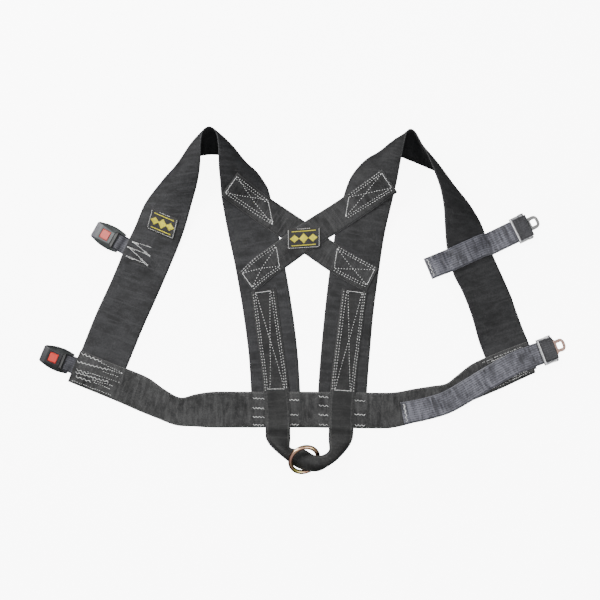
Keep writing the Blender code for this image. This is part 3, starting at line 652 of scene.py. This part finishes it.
RIGHT = [((130, -262, 0), (29, -256, 0)), ((134, -185, 0), (33, -178, 0)),
         ((140, -109, 0), (39, -99, 0)), ((148, -21, 0), (48, -8, 0)),
         ((160, 67, 0), (59, 82, 0)), ((171, 139, 6), (71, 160, 0), 1),
         ((183, 194, 20), (85, 217, 1), 3), ((192, 240, 42), (102, 260, 2), 6),
         ((199, 284, 66), (136, 297, 3), 9), ((205, 321, 85), (173, 311, 3), 12),
         ((210, 341, 92), (198, 303, 3), 12), ((220, 348, 95), (222, 290, 3), 10),
         ((229, 338, 93), (243, 283, 3), 8), ((237, 321, 88), (264, 276, 3), 6),
         ((251, 299, 84), (297, 260, 3), 5), ((268, 262, 76), (326, 229, 3), 4),
         ((280, 229, 72), (347, 203, 3), 3), ((288, 190, 66), (362, 180, 3), 3),
         ((292, 143, 57), (374, 158, 3), 2), ((297, 105, 47), (385, 129, 2), 2),
         ((311, 55, 37), (400, 89, 2), 2), ((331, 17, 31), (420, 45, 2), 2),
         ((347, -21, 25), (437, 6, 1), 2), ((356, -46, 18), (445, -18, 0), 1),
         ((369, -86, 5), (459, -56, 0)), ((382, -120, 0), (473, -92, 0)),
         ((398, -172, 0), (489, -144, 0))]
LOWER = [((-136, 262, 0), (-170, 217, 0)), ((-83, 222, 0), (-110, 174, 0)),
         ((-32, 189, 0), (-64, 142, 0)), ((22, 152, 0), (-12, 108, 0)),
         ((64, 121, 0), (38, 73, 0)), ((105, 95, 0), (81, 45, 0)),
         ((157, 66, 0), (132, 17, 0))]
UPPER = [((163, 269, 0), (195, 223, 0)), ((108, 231, 0), (139, 185, 0)),
         ((56, 197, 0), (88, 151, 0)), ((-8, 156, 0), (26, 113, 0)),
         ((-66, 114, 0), (-38, 67, 0)), ((-102, 88, 0), (-72, 42, 0)),
         ((-134, 57, 0), (-103, 13, 0))]
TOW_Y = -279.0
LEFT_LEG = [(-83, 21, 0), (-71, -70, 0), (-60, -150, 0), (-55, -205, 0), (-52.5, -240, 0),
            (-52.5, TOW_Y + 1.0, 0)]
RIGHT_LEG = [(108, 21, 0), (97, -70, 0), (87, -150, 0), (82, -205, 0), (80, -240, 0),
             (79.5, TOW_Y + 1.0, 0)]
LOOP = [((-78, TOW_Y, 7.3), (-27, TOW_Y, 7.3)), ((-77, -290, 5), (-27, -291, 6)),
        ((-69, -304, 3), (-28, -304, 9)), ((-52, -320, 5), (-27, -308, 14)),
        ((-31, -337, 5), (-19, -311, 15)), ((-14, -349, 8), (-7, -312, 14)),
        ((4, -355, 14), (6, -314, 14)), ((24, -357, 18), (20, -322, 19)),
        ((40, -353, 19), (33, -324, 26)), ((58, -342, 14), (46, -320, 28)),
        ((77, -328, 8), (54, -313, 23)), ((95, -308, 3), (55, -306, 12)),
        ((103, -292, 5), (54, -292, 6)), ((105, TOW_Y, 7.3), (54, TOW_Y, 7.3))]


class Corner:
    """Where a buckle or a tongue sits: its origin, its heading, and where its webbing bends.
    length scales what is drawn along it: the buckles are drawn 66 long and used at 63."""

    def __init__(self, x, y, degrees, hinge, length=1.0):
        self.x, self.y, self.angle = x, y, math.radians(degrees)
        self.hinge, self.length = hinge, length

    def at(self, d, side=0.0, z=0.0):
        c, s = math.cos(self.angle), math.sin(self.angle)
        return (self.x + d * c - side * s, self.y + d * s + side * c, z)

    def metres(self, d, z):
        return (Vector(self.at(d, 0.0, z)) + SHIFT) * MM


CHEST_B = Corner(-380.8, 118, 150.3, -1.4, 0.955)
WAIST_B = Corner(-487.2, -134.2, 157.5, -2.9, 0.955)
CHEST_T = Corner(442.5, 142.5, 26.0, -43.0)
WAIST_T = Corner(496, -111.5, 21.0, -8.0)


def turn_round(x, zc, r):
    """Half circle opening towards -x, from below to above."""
    n = 10
    return [(x + r * math.sin(math.pi * k / n), zc - r * math.cos(math.pi * k / n))
            for k in range(n + 1)]


def profile_strip(corner, path, width, cols):
    """Rows of a strip whose side view, in a corner's own frame, is a path of (along, up)."""
    side = np.linspace(0.5, -0.5, cols) * width
    return np.array([[corner.at(d, v, z) for v in side] for d, z in path])


def refine(path, step):
    """A path with no gap longer than step."""
    out = [path[0]]
    for a, b in zip(path[:-1], path[1:]):
        n = max(1, int(math.dist(a, b) / step + 0.5))
        out += [tuple(a[k] + (b[k] - a[k]) * t / n for k in range(len(a))) for t in range(1, n + 1)]
    return out


# ---------------------------------------------------------------- layers, from the bottom up
def strap(name, stations, width, thick, material, under=(), soften=4, rough=0.0, size=40.0, nodes=(),
          step=None, slot="harness_webbing", puckers=()):
    grid = pucker(surface(stations, width, step=step), puckers)
    if rough:
        grid = crumple(grid, rough, size, 7.0 * Strap.count)
    grid = rest(grid, under, thick, soften)
    s = Strap(name, grid, width, thick, material)
    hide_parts(*nodes)
    return s


def buckle_webbing(pre, corner, floor, low, high):
    """One length of webbing: out from under the strap, round the buckle's bar and back."""
    h, k = corner.hinge, corner.length
    path = [(-64, floor + 0.66), (-20, floor + 0.66), (h - 4, floor + 0.7), (h, low),
            (0.6, 2.7), (3, 2.98)]
    path += turn_round(10.9, 5.1, 2.1)
    path += [(7.5, 7.5), (5, 7.6), (2.4, 7.2), (h, high + 0.4), (h - 3, floor + 2.4),
             (h - 6, floor + 2.05), (-20, floor + 2.02), (-64, floor + 2.02)]
    path = refine([(d * (k if d > h else 1.0), z) for d, z in path], 2.5)
    grid = profile_strip(corner, path, STUB_W, 9)
    s = Strap(pre + "_buckle_webbing", grid, STUB_W, BELTING_T, STUB, body=None)
    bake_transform(s.object, "harness", pre + "_buckle", corner.metres(h - 5, 0), corner.metres(h + 3, 0))
    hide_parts(pre + "_buckle_anchor_webbing", pre + "_buckle_webbing_loop")
    return s


def tongue_base(pre, corner, back, floor):
    """The webbing of a tongue where it is sewn in under the strap; only a stand-in to lay straps on."""
    path = refine([(back, floor), (corner.hinge, floor)], STEP)
    return Strap(pre + "_base_stand_in", profile_strip(corner, path, TAIL_W, strip_columns(TAIL_W)),
                 TAIL_W, BELTING_T, BELTING, body=None)


inner = strap("belt_inner", BELT_RUN, BELT_W, BELT_T, BELT, nodes=["belt_inner_layer"])
chest_stub = buckle_webbing("chest", CHEST_B, 0.0, 1.05, 2.7)
waist_stub = buckle_webbing("waist", WAIST_B, 2.35, 3.05, 4.7)
chest_base = tongue_base("chest", CHEST_T, -130, 0.65)
waist_base = tongue_base("waist", WAIST_T, -75, 3.0)

left = strap("strap_left", LEFT, SHOULDER_W, SHOULDER_T, COLUMN,
             under=(inner.object, chest_stub.object, waist_stub.object), rough=1.2, size=60.0,
             nodes=["shoulder_strap_left"])
right = strap("strap_right", RIGHT, SHOULDER_W, SHOULDER_T, NYLON,
              under=(inner.object, chest_base.object, waist_base.object), rough=1.2, size=60.0,
              nodes=["shoulder_strap_right"])
outer = strap("belt_outer", BELT_RUN, BELT_W, BELT_T, BELT,
              under=(inner.object, waist_stub.object, waist_base.object, left.object, right.object),
              rough=2.4, size=24.0, nodes=["belt_outer_layer"], step=STEP / 2, soften=2,
              puckers=[(130, 2.2, 16, 8.5), (236, 4.0, 15, 11), (300, 1.4, 40, 17), (520, 1.2, 22, 9),
                       (678, 3.2, 16, 12), (735, 1.4, 30, 14), (792, 4.0, 15, 11)])
lower = strap("cross_lower", LOWER, CROSS_W, CROSS_T, CROSS, under=(left.object, right.object),
              rough=0.8, size=35.0, nodes=["cross_strap_lower"])
upper = strap("cross_upper", UPPER, CROSS_W, CROSS_T, CROSS,
              under=(left.object, right.object, lower.object), rough=0.8, size=35.0,
              nodes=["cross_strap_upper"])


def tow_strap():
    """One length: sewn down the left column, the hanging loop, and up the right column."""
    left_leg = rest(surface(route(LEFT_LEG, TOW_W), TOW_W), (left.object, outer.object, upper.object),
                    TOW_T)[:, ::-1]
    right_leg = rest(surface(route(RIGHT_LEG, TOW_W), TOW_W),
                     (right.object, outer.object, lower.object), TOW_T)
    loop = surface(LOOP, TOW_W, cup=0.9, step=STEP * 0.6)
    loop[..., 2] += TOW_T / 2
    ease = 5                                   # rows over which a leg meets the loop
    for leg, end in ((left_leg, loop[0]), (right_leg, loop[-1])):
        for k in range(ease - 1):
            w = (k + 1) / ease
            leg[len(leg) - ease + k, :, 2] += (end[:, 2] - leg[-1, :, 2]) * w * w * (3 - 2 * w)
        leg[-1, :, 2] = end[:, 2]
    grid = np.concatenate([left_leg, loop[1:-1], right_leg[::-1]])
    s = Strap("tow_strap", grid, TOW_W, TOW_T, TOW, body=None)
    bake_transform(s.object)
    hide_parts("tow_strap_left_leg", "tow_strap_right_leg", "tow_strap_loop")
    return s


tow = tow_strap()


def tongue_webbing(pre, corner, floor, back, low, front, high, tail, under, base):
    """One length: out from under the strap, through the adjuster, round its bar and back as the tail."""
    h = corner.hinge
    path = [(back, floor), (h, low), (h + 3, low), (-1.0, 5.25), (12, 5.35)] if h < -20 else \
           [(back, floor), (h, low), (-1.0, 5.25), (12, 5.35)]
    path += turn_round(front - 2.2, 7.55, 2.2)
    path += [(18, 9.85), (6, 9.6), (-2.0, 7.6), (-7, 8.6), (h + 3, high), (h, high)] if h < -20 else \
            [(18, 9.85), (6, 9.6), (-1.0, 7.9), (h, high)]
    cols = strip_columns(TAIL_W)
    run = profile_strip(corner, refine(path, 3.0), TAIL_W, cols)
    flat = surface(route(tail, TAIL_W), TAIL_W)
    flat = rest(flat, under + (base.object,), BELTING_T, soften=8)[::-1]
    ease = 6                                   # rows over which the tail rises to the adjuster
    for k in range(ease):
        w = (1 - k / ease) ** 2
        flat[k, :, 2] = np.maximum(flat[k, :, 2], high * w + flat[k, :, 2] * (1 - w))
    grid = np.concatenate([run, flat[1:]])
    bpy.data.objects.remove(base.object, do_unlink=True)
    s = Strap(pre + "_tongue_webbing", grid, TAIL_W, BELTING_T, BELTING, body=None)
    # Faces ahead of the adjuster's back take the darker copy: painted shade on the loop inside the
    # adjuster.
    s.object.data.materials.append(WEBBING_PAINTED_SHADE)
    ring = 2 * cols + 2
    for poly in s.object.data.polygons:
        at = s.grid[min(poly.vertices[0] // ring, len(s.grid) - 1)].mean(axis=0)
        ahead = (at[0] - corner.x) * math.cos(corner.angle) + (at[1] - corner.y) * math.sin(corner.angle)
        poly.material_index = 1 if ahead > 1.0 else 0
    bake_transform(s.object, "harness", pre + "_tongue", corner.metres(h - 8, 0), corner.metres(h + 8, 0))
    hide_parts(pre + "_tongue_base_webbing", pre + "_tongue_webbing_loop", pre + "_tongue_tail")
    return s


chest_webbing = tongue_webbing(
    "chest", CHEST_T, 0.65, -130, 1.0, 35.0, 6.05,
    [(262, 65, 0), (300, 81, 0), (345, 101, 0), (375, 114, 0),
     CHEST_T.at(CHEST_T.hinge - 14, 0, 5.4), CHEST_T.at(CHEST_T.hinge - 0.6, 0, 5.4)],
    (right.object,), chest_base)
waist_webbing = tongue_webbing(
    "waist", WAIST_T, 3.0, -75, 3.0, 34.0, 8.25,
    [(208, -238, 0), (250, -230, 0), (300, -215, 0), (348, -188, 0), (395, -159, 0), (439, -134.5, 0),
     WAIST_T.at(WAIST_T.hinge - 14, 0, 7.6), WAIST_T.at(WAIST_T.hinge - 0.6, 0, 7.6)],
    (outer.object, inner.object, right.object), waist_base)

back_label = strap("label_back", [((-33, 149, 0), (-33, 105, 0)), ((2, 152, 0), (2, 107, 0)),
                                  ((36, 154, 0), (36, 110, 0))], 44, 0.8, LABEL,
                   under=(lower.object, upper.object), soften=10, nodes=["back_label"], slot="label")
chest_label = strap("label_chest", [((-316, 192, 0), (-328, 150, 0)), ((-288, 180, 0), (-300, 138, 0)),
                                    ((-260, 168, 0), (-272, 126, 0))], 44, 0.8, LABEL,
                    under=(left.object,), soften=10, nodes=["chest_label"], slot="label")


# ---------------------------------------------------------------- stitching
def cross_strap_sewing():
    sew = Sewing("stitches_cross_lower", lower)
    sew.box([(5, -22), (5, 19), (130, 15), (94, -22)], doubled=-5.5)
    end = lower.along[-1]
    sew.box([(end - 5, -22), (end - 5, 14), (end - 82, 17), (end - 95, -21)], doubled=4.5)
    sew.done()
    sew = Sewing("stitches_cross_upper", upper)
    end = upper.along[-1]
    sew.box([(5, -22), (5, 14), (122, 9), (93, -21)], doubled=4.5)
    sew.box([(end - 5, -22), (end - 5, 15), (end - 79, 18), (end - 94, -20)], doubled=4.5)
    sew.done()


def tow_sewing():
    sew = Sewing("stitches_tow_strap", tow)
    sew.box([(4, -18), (4, 15), (211, 18), (208, -18)], crossed=False)
    sew.row([(6, -16), (210, 17)]).row([(6, 13), (207, -13)])
    sew.row([(5, -22.5), (213, -22.5)]).row([(5, 20), (211, 22.5)])
    sew.box([(829, 16), (829, -19), (621, -18), (620, 18)], crossed=False)
    sew.row([(828, 13), (622, -16)]).row([(828, -17), (621, 16)])
    sew.row([(830, 22), (619, 22.5)]).row([(830, -23), (618, -22.5)])
    sew.done()


def belt_sewing():
    sew = Sewing("stitches_belt", outer, thread=1.1)
    for s0, s1, rows in ((397, 421, (-25, -4, 15, 32)), (472, 493, (-22, 10, 31)),
                         (536, 556, (-29, -10, 10, 31)), (611, 633, (-22, 8, 31))):
        for v in rows:
            sew.zigzag((s0, v), (s1, v + 1.5), 3.2, 3.4)
    for row in ([(4, -33), (50, -33)], [(3, -12), (30, -16), (70, -22)], [(8, 5), (35, 4)],
                [(8, 12), (45, 10), (80, 4)], [(12, 21), (45, 19)]):
        sew.zigzag(row[0], row[-1], 4.0, 4.2)
    for row in ([(50, -31), (100, -27)], [(60, -22), (102, -25)], [(30, 1), (102, -4)],
                [(45, 13), (92, 9)], [(50, 18), (88, 18)], [(6, 33), (96, 31)], [(60, -13), (96, -15)]):
        sew.row(row, 5.0, 2.6, 0.8)
    for row in ([(906, -31), (996, -31)], [(915, -26), (990, -26)], [(900, 31), (994, 31)],
                [(935, 25), (990, 26)]):
        sew.row(row, 4.3, 2.2, 1.3)
    sew.done()
    edge = Sewing("edge_stitches_belt", outer, thread=0.8, pitch=4.2, stitch=2.4,
                  material=GREY_THREAD)
    for v in (-35.5, 35.5):
        edge.row([(s, v) for s in range(110, 901, 40)])
    edge.done()


def front_sewing():
    """The zigzag that holds the chest buckle's webbing under the left strap."""
    end = left.along[-1]
    sew = Sewing("stitches_chest_buckle", left, thread=1.15)
    turns = [(261, 43), (255, -8), (281, 48), (275, -5), (295, 43), (293, 0)]
    turns = [(end - s, v) for s, v in turns]
    sew.dense(turns)
    for (s0, v0), (s1, v1) in zip(turns[:-1], turns[1:]):
        sew.dense([(s0 + 1.8, v0), (s0 + 1.8 + (s1 - s0) * 0.35, v0 + (v1 - v0) * 0.35)])
    sew.done()


def label_finish(pre, label):
    length = label.along[-1]
    sew = Sewing("stitches_label_" + pre, label, thread=0.95, pitch=3.9, stitch=3.0)
    sew.dense([(2.2, -19), (2.2, 19)]).dense([(length - 2.2, -19), (length - 2.2, 19)])
    sew.row([(3, 19.5), (length - 3, 19.5)]).row([(length * 0.3, -20), (length * 0.7, -20)])
    sew.done()
    emblem = Sewing("emblem_" + pre, label, thread=1.0, material=YELLOW)
    for k, reach in ((0.22, 8.5), (0.5, 11.0), (0.78, 8.5)):
        for i in range(-11, 12):
            half = reach * (1 - abs(i) / 12)
            emblem.bead((length * k + i * 0.8, -half), (length * k + i * 0.8, half))
    emblem.satin([(length * 0.14, -15), (length * 0.86, -15)], 2.0)
    emblem.satin([(length * 0.14, 14.5), (length * 0.86, 14.5)], 2.0)
    emblem.done()


def hem(pre, webbing_strap):
    """The tail's end is turned over on itself and sewn with a zigzag."""
    end = webbing_strap.along[-1]
    rows = [i for i, s in enumerate(webbing_strap.along) if s > end - 17]
    up = np.where(webbing_strap.normal[rows][..., 2:] > 0, 1.0, -1.0)
    grid = webbing_strap.grid[rows] + webbing_strap.normal[rows] * up * (BELTING_T + GAP)
    fold = Strap(pre + "_tail_hem", grid, TAIL_W, BELTING_T, BELTING)
    length = fold.along[-1]
    sew = Sewing("stitches_" + pre + "_tail_hem", fold, thread=1.2)
    sew.zigzag((length * 0.42, -19), (length * 0.46, 19), 4.0, 4.6)
    sew.dense([(length * 0.42, -19), (length * 0.46, 0)])
    sew.done()


cross_strap_sewing()
tow_sewing()
belt_sewing()
front_sewing()
label_finish("back", back_label)
label_finish("chest", chest_label)
hem("chest", chest_webbing)
hem("waist", waist_webbing)


# ---------------------------------------------------------------- hard parts
# Each upper shell's faces get a colour by which way they face: the upward panel and the nose facet take
# their own lighter or darker copies, painted light.
SIDE, PANEL_PAINTED_LIGHT, NOSE_PAINTED_LIGHT, RECESS_PAINTED_SHADE = range(4)   # order of an upper shell's materials
SHELL_SIDE = [(0, 21.6), (10, 23.4), (24, 24.8), (42, 23.6), (56, 20.4), (64, 18.2), (66, 16.0)]


def spline(points, per=6):
    """A smooth line through a few points."""
    p = np.array(points, float)
    p = np.vstack([2 * p[0] - p[1], p, 2 * p[-1] - p[-2]])
    out = []
    for i in range(len(points) - 1):
        out += [between(*p[i:i + 4], k / per) for k in range(per)]
    out.append(p[-2])
    return [tuple(q) for q in out]


def mirrored(half):
    """A closed outline from one side of it."""
    return half + [(x, -y) for x, y in reversed(half)]


def prism(outline, z0, z1):
    """Points and faces of an outline raised from z0 to z1."""
    n = len(outline)
    verts = [(x, y, z0) for x, y in outline] + [(x, y, z1) for x, y in outline]
    faces = [tuple(range(n)), tuple(range(n, 2 * n))]
    faces += [(i, (i + 1) % n, (i + 1) % n + n, i + n) for i in range(n)]
    return verts, faces


def box(x0, x1, y, z0, z1):
    return prism([(x0, -y), (x1, -y), (x1, y), (x0, y)], z0, z1)


def rounded(x0, x1, y, r):
    """Outline of a rectangle with round corners, even about the axis."""
    per, out = 5, []
    for cx, cy, start in ((x1 - r, y - r, 0), (x0 + r, y - r, 90),
                          (x0 + r, r - y, 180), (x1 - r, r - y, 270)):
        for k in range(per + 1):
            a = math.radians(start + 90 * k / per)
            out.append((cx + r * math.cos(a), cy + r * math.sin(a)))
    return out


def side_prism(outline, y0, y1):
    """An outline of (along, up) carried across from y0 to y1."""
    verts, faces = prism(outline, y0, y1)
    return [(x, y, z) for x, z, y in verts], faces


def blank(shape):
    """A plain mesh object to cut or to cut with."""
    me = bpy.data.meshes.new("blank")
    me.from_pydata(shape[0], [], shape[1])
    bm = bmesh.new()
    bm.from_mesh(me)
    bmesh.ops.recalc_face_normals(bm, faces=bm.faces)
    bm.to_mesh(me)
    bm.free()
    ob = bpy.data.objects.new("blank", me)
    bpy.context.collection.objects.link(ob)
    return ob


def broken_edges(ob, width, angle):
    mod = ob.modifiers.new("edge", "BEVEL")
    mod.width = width * MM
    mod.segments = 2
    mod.limit_method = "ANGLE"
    mod.angle_limit = math.radians(angle)
    return mod


def worked(name, shape, steps, corner, body, materials, kind=None, bevel=0.35):
    """A hard part drawn in its corner's own frame, cut and joined, then put in place."""
    ob = blank(shape)
    for operation, tool_shape in steps:
        tool = blank(tool_shape)
        mod = ob.modifiers.new("work", "BOOLEAN")
        mod.operation, mod.solver, mod.object = operation, "EXACT", tool
        graph = bpy.context.evaluated_depsgraph_get()
        me = bpy.data.meshes.new_from_object(ob.evaluated_get(graph))
        ob.modifiers.clear()
        ob.data = me
        bpy.data.objects.remove(tool, do_unlink=True)
    me = ob.data
    kinds = [kind(p.center, p.normal) if kind else 0 for p in me.polygons]
    verts = [corner.at(v.co.x * corner.length, v.co.y, v.co.z) for v in me.vertices]
    faces = [tuple(p.vertices) for p in me.polygons]
    bpy.data.objects.remove(ob, do_unlink=True)
    piece = add_piece(name, verts, faces, materials[0], body, sharp=32)
    for m in materials[1:]:
        piece.data.materials.append(m)
    if len(kinds) == len(piece.data.polygons):
        piece.data.polygons.foreach_set("material_index", kinds)
    broken_edges(piece, bevel, 32).harden_normals = True
    return piece


def upper_shell(pre, corner, materials):
    """Barrel-shaped cover: a flat panel round the button, sloping sides, a bevelled mouth end."""
    side = np.array(spline(SHELL_SIDE))
    sections = []
    for u in np.linspace(0, 66, 45):
        w = float(np.interp(u, side[:, 0], side[:, 1]))
        p = float(np.interp(u, [0, 20, 64, 66], [12.3, 12.3, 16.2, 14.6]))
        top = float(np.interp(u, [0, 5, 14, 20, 53, 56, 66], [14.6, 16.2, 19.2, 20.0, 20.0, 19.4, 15.4]))
        half = [(w, 8.3), (w, 11.4), (w - 0.4, 12.4), (p + (w - p) * 0.55, 12.4 + (top - 12.4) * 0.62),
                (p + 0.7, top - 0.45), (p, top - 0.08), (p - 1.0, top)]
        sections.append([(u, y, z) for y, z in half] + [(u, -y, z) for y, z in reversed(half)])
    n = len(sections[0])
    verts = [q for section in sections for q in section]
    faces = [tuple(range(n)), tuple(range(len(verts) - n, len(verts)))]
    faces += grid_faces(len(sections), n)
    hollow = mirrored([(20, 20.4), (42, 20.2), (54, 17.6), (61.5, 15.4)])
    notch = [(-5, -18), (17, -18), (21, -14.5), (21, 14.5), (17, 18), (-5, 18)]
    cuts = [prism(notch, 7, 24), prism(hollow, 7, 13.6), box(26.6, 49.8, 11.6, 13, 17.6),
            prism(rounded(27.6, 48.8, 10.5, 1.9), 16, 24), box(60, 68, 15.0, 7, 13.0)]
    steps = [("DIFFERENCE", cut) for cut in cuts]

    # Picks a face's colour by where it is and which way it faces: painted light on the panel and nose
    # facet, painted shade on the recess walls.
    def kind(centre, normal):
        # The recess walls take black plastic: painted shade.
        if abs(normal.z) < 0.5 and -1 < centre.x < 21.6 and abs(centre.y) < 18.4:
            return RECESS_PAINTED_SHADE
        if normal.z > 0.8 and centre.z > 15.0:
            if normal.z > 0.985 and centre.x < 55:
                return PANEL_PAINTED_LIGHT
            return NOSE_PAINTED_LIGHT if centre.x >= 53 else SIDE
        return SIDE

    piece = worked(pre + "_upper_shell", (verts, faces), steps, corner, pre + "_buckle", materials,
                   kind)
    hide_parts(pre + "_buckle_upper_shell")


def latch_plate(pre, corner, material, half):
    """The tongue: a steel plate with a round end and a window for the latch."""
    outline = mirrored([(9, 23.4), (27, 23.4)] + spline(half, 5))
    piece = worked(pre + "_tongue_plate", prism(outline, 0.4, 2.6),
                   [("DIFFERENCE", prism(rounded(40.0, 51.2, 6.6, 2.2), -1, 4))], corner, pre + "_tongue",
                   [material], bevel=0.6)
    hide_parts(pre + "_latch_plate")


def adjuster(pre, corner):
    """Folded frame with a slot in each cheek for the slide bar, and a rolled lip at the back."""
    channel = [(-28, 2.9), (28, 2.9), (28, 12.2), (26.2, 12.2), (26.2, 4.3), (-26.2, 4.3),
               (-26.2, 12.2), (-28, 12.2)]
    verts, faces = prism(channel, 1.0, 33.0)
    verts = [(x, y, z) for y, z, x in verts]
    lip = [(2.8 + 2.7 * math.cos(math.radians(a)), 11.8 + 1.05 * math.sin(math.radians(a)))
           for a in range(0, 360, 20)]
    slot = [(x, z + 7.55) for x, z in rounded(15.5, 31.0, 1.45, 1.4)]
    nose = [(24, 13.5), (27, 12.3), (30, 10.6), (32.2, 8.2), (33.2, 5.0), (35, 5.0), (35, 13.5)]
    heel = [(-1, 9.0), (1.4, 7.2), (1.0, 5.2), (0.5, 2.0), (-1, 2.0)]
    piece = worked(pre + "_adjuster", (verts, faces),
                   [("UNION", side_prism(lip, -27.2, 27.2)), ("DIFFERENCE", side_prism(slot, -30, 30)),
                    ("DIFFERENCE", side_prism(nose, -30, 30)), ("DIFFERENCE", side_prism(heel, -30, 30)),
                    ("DIFFERENCE", prism(rounded(10, 22, 20, 2), 2, 5))],
                   corner, pre + "_tongue", [CHROME], bevel=0.4)
    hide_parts(pre + "_adjuster_frame")


def tow_ring():
    """Round steel wire bent to an O and welded; the weld is a faint swelling."""
    place = (Matrix.Translation((2.5, -332.5, 20.4)) @ Matrix.Rotation(math.radians(18.5), 4, "Y")
             @ Matrix.Rotation(math.radians(24.5), 4, "X"))
    around, sides, radius, wire = 112, 20, 30.2, 4.75
    verts = []
    for i in range(around):
        a = 2 * math.pi * i / around
        weld = 0.22 * math.exp(-((math.degrees(a) - 300) / 5) ** 2)
        for j in range(sides):
            b = 2 * math.pi * j / sides
            r = radius + (wire + weld) * math.cos(b)
            up = (wire + weld) * math.sin(b)
            verts.append(place @ Vector((r * math.cos(a), r * math.sin(a), up)))
    faces = grid_faces(around, sides, closed=True)
    piece = add_piece("tow_o_ring", verts, faces, ZINC, "tow_ring", sharp=80)
    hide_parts("tow_ring")


def button_spring(pre, corner):
    """The coil under the button, drawn at rest; the real one closes up as the button goes down."""
    turns, per, sides, wire, radius, low, high = 4.5, 18, 8, 0.42, 2.3, 7.0, 11.9
    verts = []
    total = int(turns * per)
    for i in range(total + 1):
        a = 2 * math.pi * i / per
        rise = low + (high - low) * min(max((i - per / 2) / (total - per), 0.0), 1.0)
        out = Vector((math.cos(a), math.sin(a), 0.0))
        for j in range(sides):
            b = 2 * math.pi * j / sides
            p = Vector((34.0, 0.0, rise)) + out * (radius + wire * math.cos(b))
            verts.append(corner.at(p.x * corner.length, p.y, p.z + wire * math.sin(b)))
    faces = [tuple(range(sides)), tuple(total * sides + j for j in range(sides))]
    faces += grid_faces(total + 1, sides)
    piece = add_piece(pre + "_coil_spring", verts, faces, STEEL, pre + "_buckle", sharp=60)
    corner.metres(34.0 * corner.length, low - wire)
    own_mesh(piece)
    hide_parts(pre + "_button_spring")


def keep(node, material, bevel=0.25):
    """A CAD part that keeps its shape and gets its finish and broken edges here."""
    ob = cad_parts[node]
    ob.data.materials.clear()
    ob.data.materials.append(material)
    if bevel:
        broken_edges(ob, bevel, 35)


SHELL_SIDES = plastic_material("buckle_plastic_side", (0.02, 0.022, 0.022), (0.05, 0.055, 0.053),
                               0.36)
# The chest buckle's plastics are paler copies of the waist buckle's, painted reflection: the sides paler,
# the panel round the button palest, and the nose facet in its own tone, painted light.
CHEST_SIDES_PAINTED_SHEEN = plastic_material("buckle_side_painted_sheen", (0.05, 0.055, 0.054), (0.1, 0.11, 0.105), 0.4)
CHEST_SHELL_PAINTED_LIGHT = [
    CHEST_SIDES_PAINTED_SHEEN,
    plastic_material("buckle_panel_painted_reflection", (0.11, 0.12, 0.12), (0.19, 0.2, 0.195), 0.34),
    plastic_material("buckle_nose_painted_light", (0.07, 0.07, 0.082), (0.12, 0.12, 0.132), 0.4), BLACK]
# The waist buckle's panel is a darker copy and its nose facet a lighter copy of the shell plastic:
# painted shade and painted light by which way they face.
WAIST_SHELL_PAINTED_LIGHT = [
    SHELL_SIDES,
    plastic_material("buckle_panel", (0.014, 0.014, 0.015), (0.03, 0.03, 0.031), 0.34),
    plastic_material("buckle_nose", (0.035, 0.035, 0.037), (0.06, 0.06, 0.065), 0.42), BLACK]
CHEST_PLATE = [(28, 21.0), (31, 17.6), (34.5, 14.8), (39, 14.3), (48, 14.0), (52.5, 12.4),
               (56, 8.6), (57.5, 3.6)]
WAIST_PLATE = [(30, 23.0), (34, 21.4), (37.0, 16.5), (39.5, 13.8), (43, 13.6), (48, 14.0),
               (53, 12.2), (56.3, 7.8), (57.5, 3.2)]

upper_shell("chest", CHEST_B, CHEST_SHELL_PAINTED_LIGHT)
upper_shell("waist", WAIST_B, WAIST_SHELL_PAINTED_LIGHT)
latch_plate("chest", CHEST_T, STEEL, CHEST_PLATE)
latch_plate("waist", WAIST_T, COPPERY, WAIST_PLATE)
for pre, at in (("chest", CHEST_T), ("waist", WAIST_T)):
    adjuster(pre, at)
tow_ring()
for pre, at in (("chest", CHEST_B), ("waist", WAIST_B)):
    button_spring(pre, at)
for pre in ("chest", "waist"):
    keep(f"{pre}_buckle_lower_shell", SHELL_SIDES, 0.5)
    # The chest button takes the paler red: painted reflection.
    keep(f"{pre}_release_button", RED_PAINTED_SHEEN if pre == "chest" else RED, 0.5)
    keep(f"{pre}_buckle_frame", STEEL)
    for part in ("buckle_rivet_a", "buckle_rivet_b", "latch_pawl"):
        keep(f"{pre}_{part}", STEEL, 0.15)
    keep(f"{pre}_ejector", BLACK, 0.3)
    keep(f"{pre}_slide_bar", CHROME, 0.2)

camera()
studio()
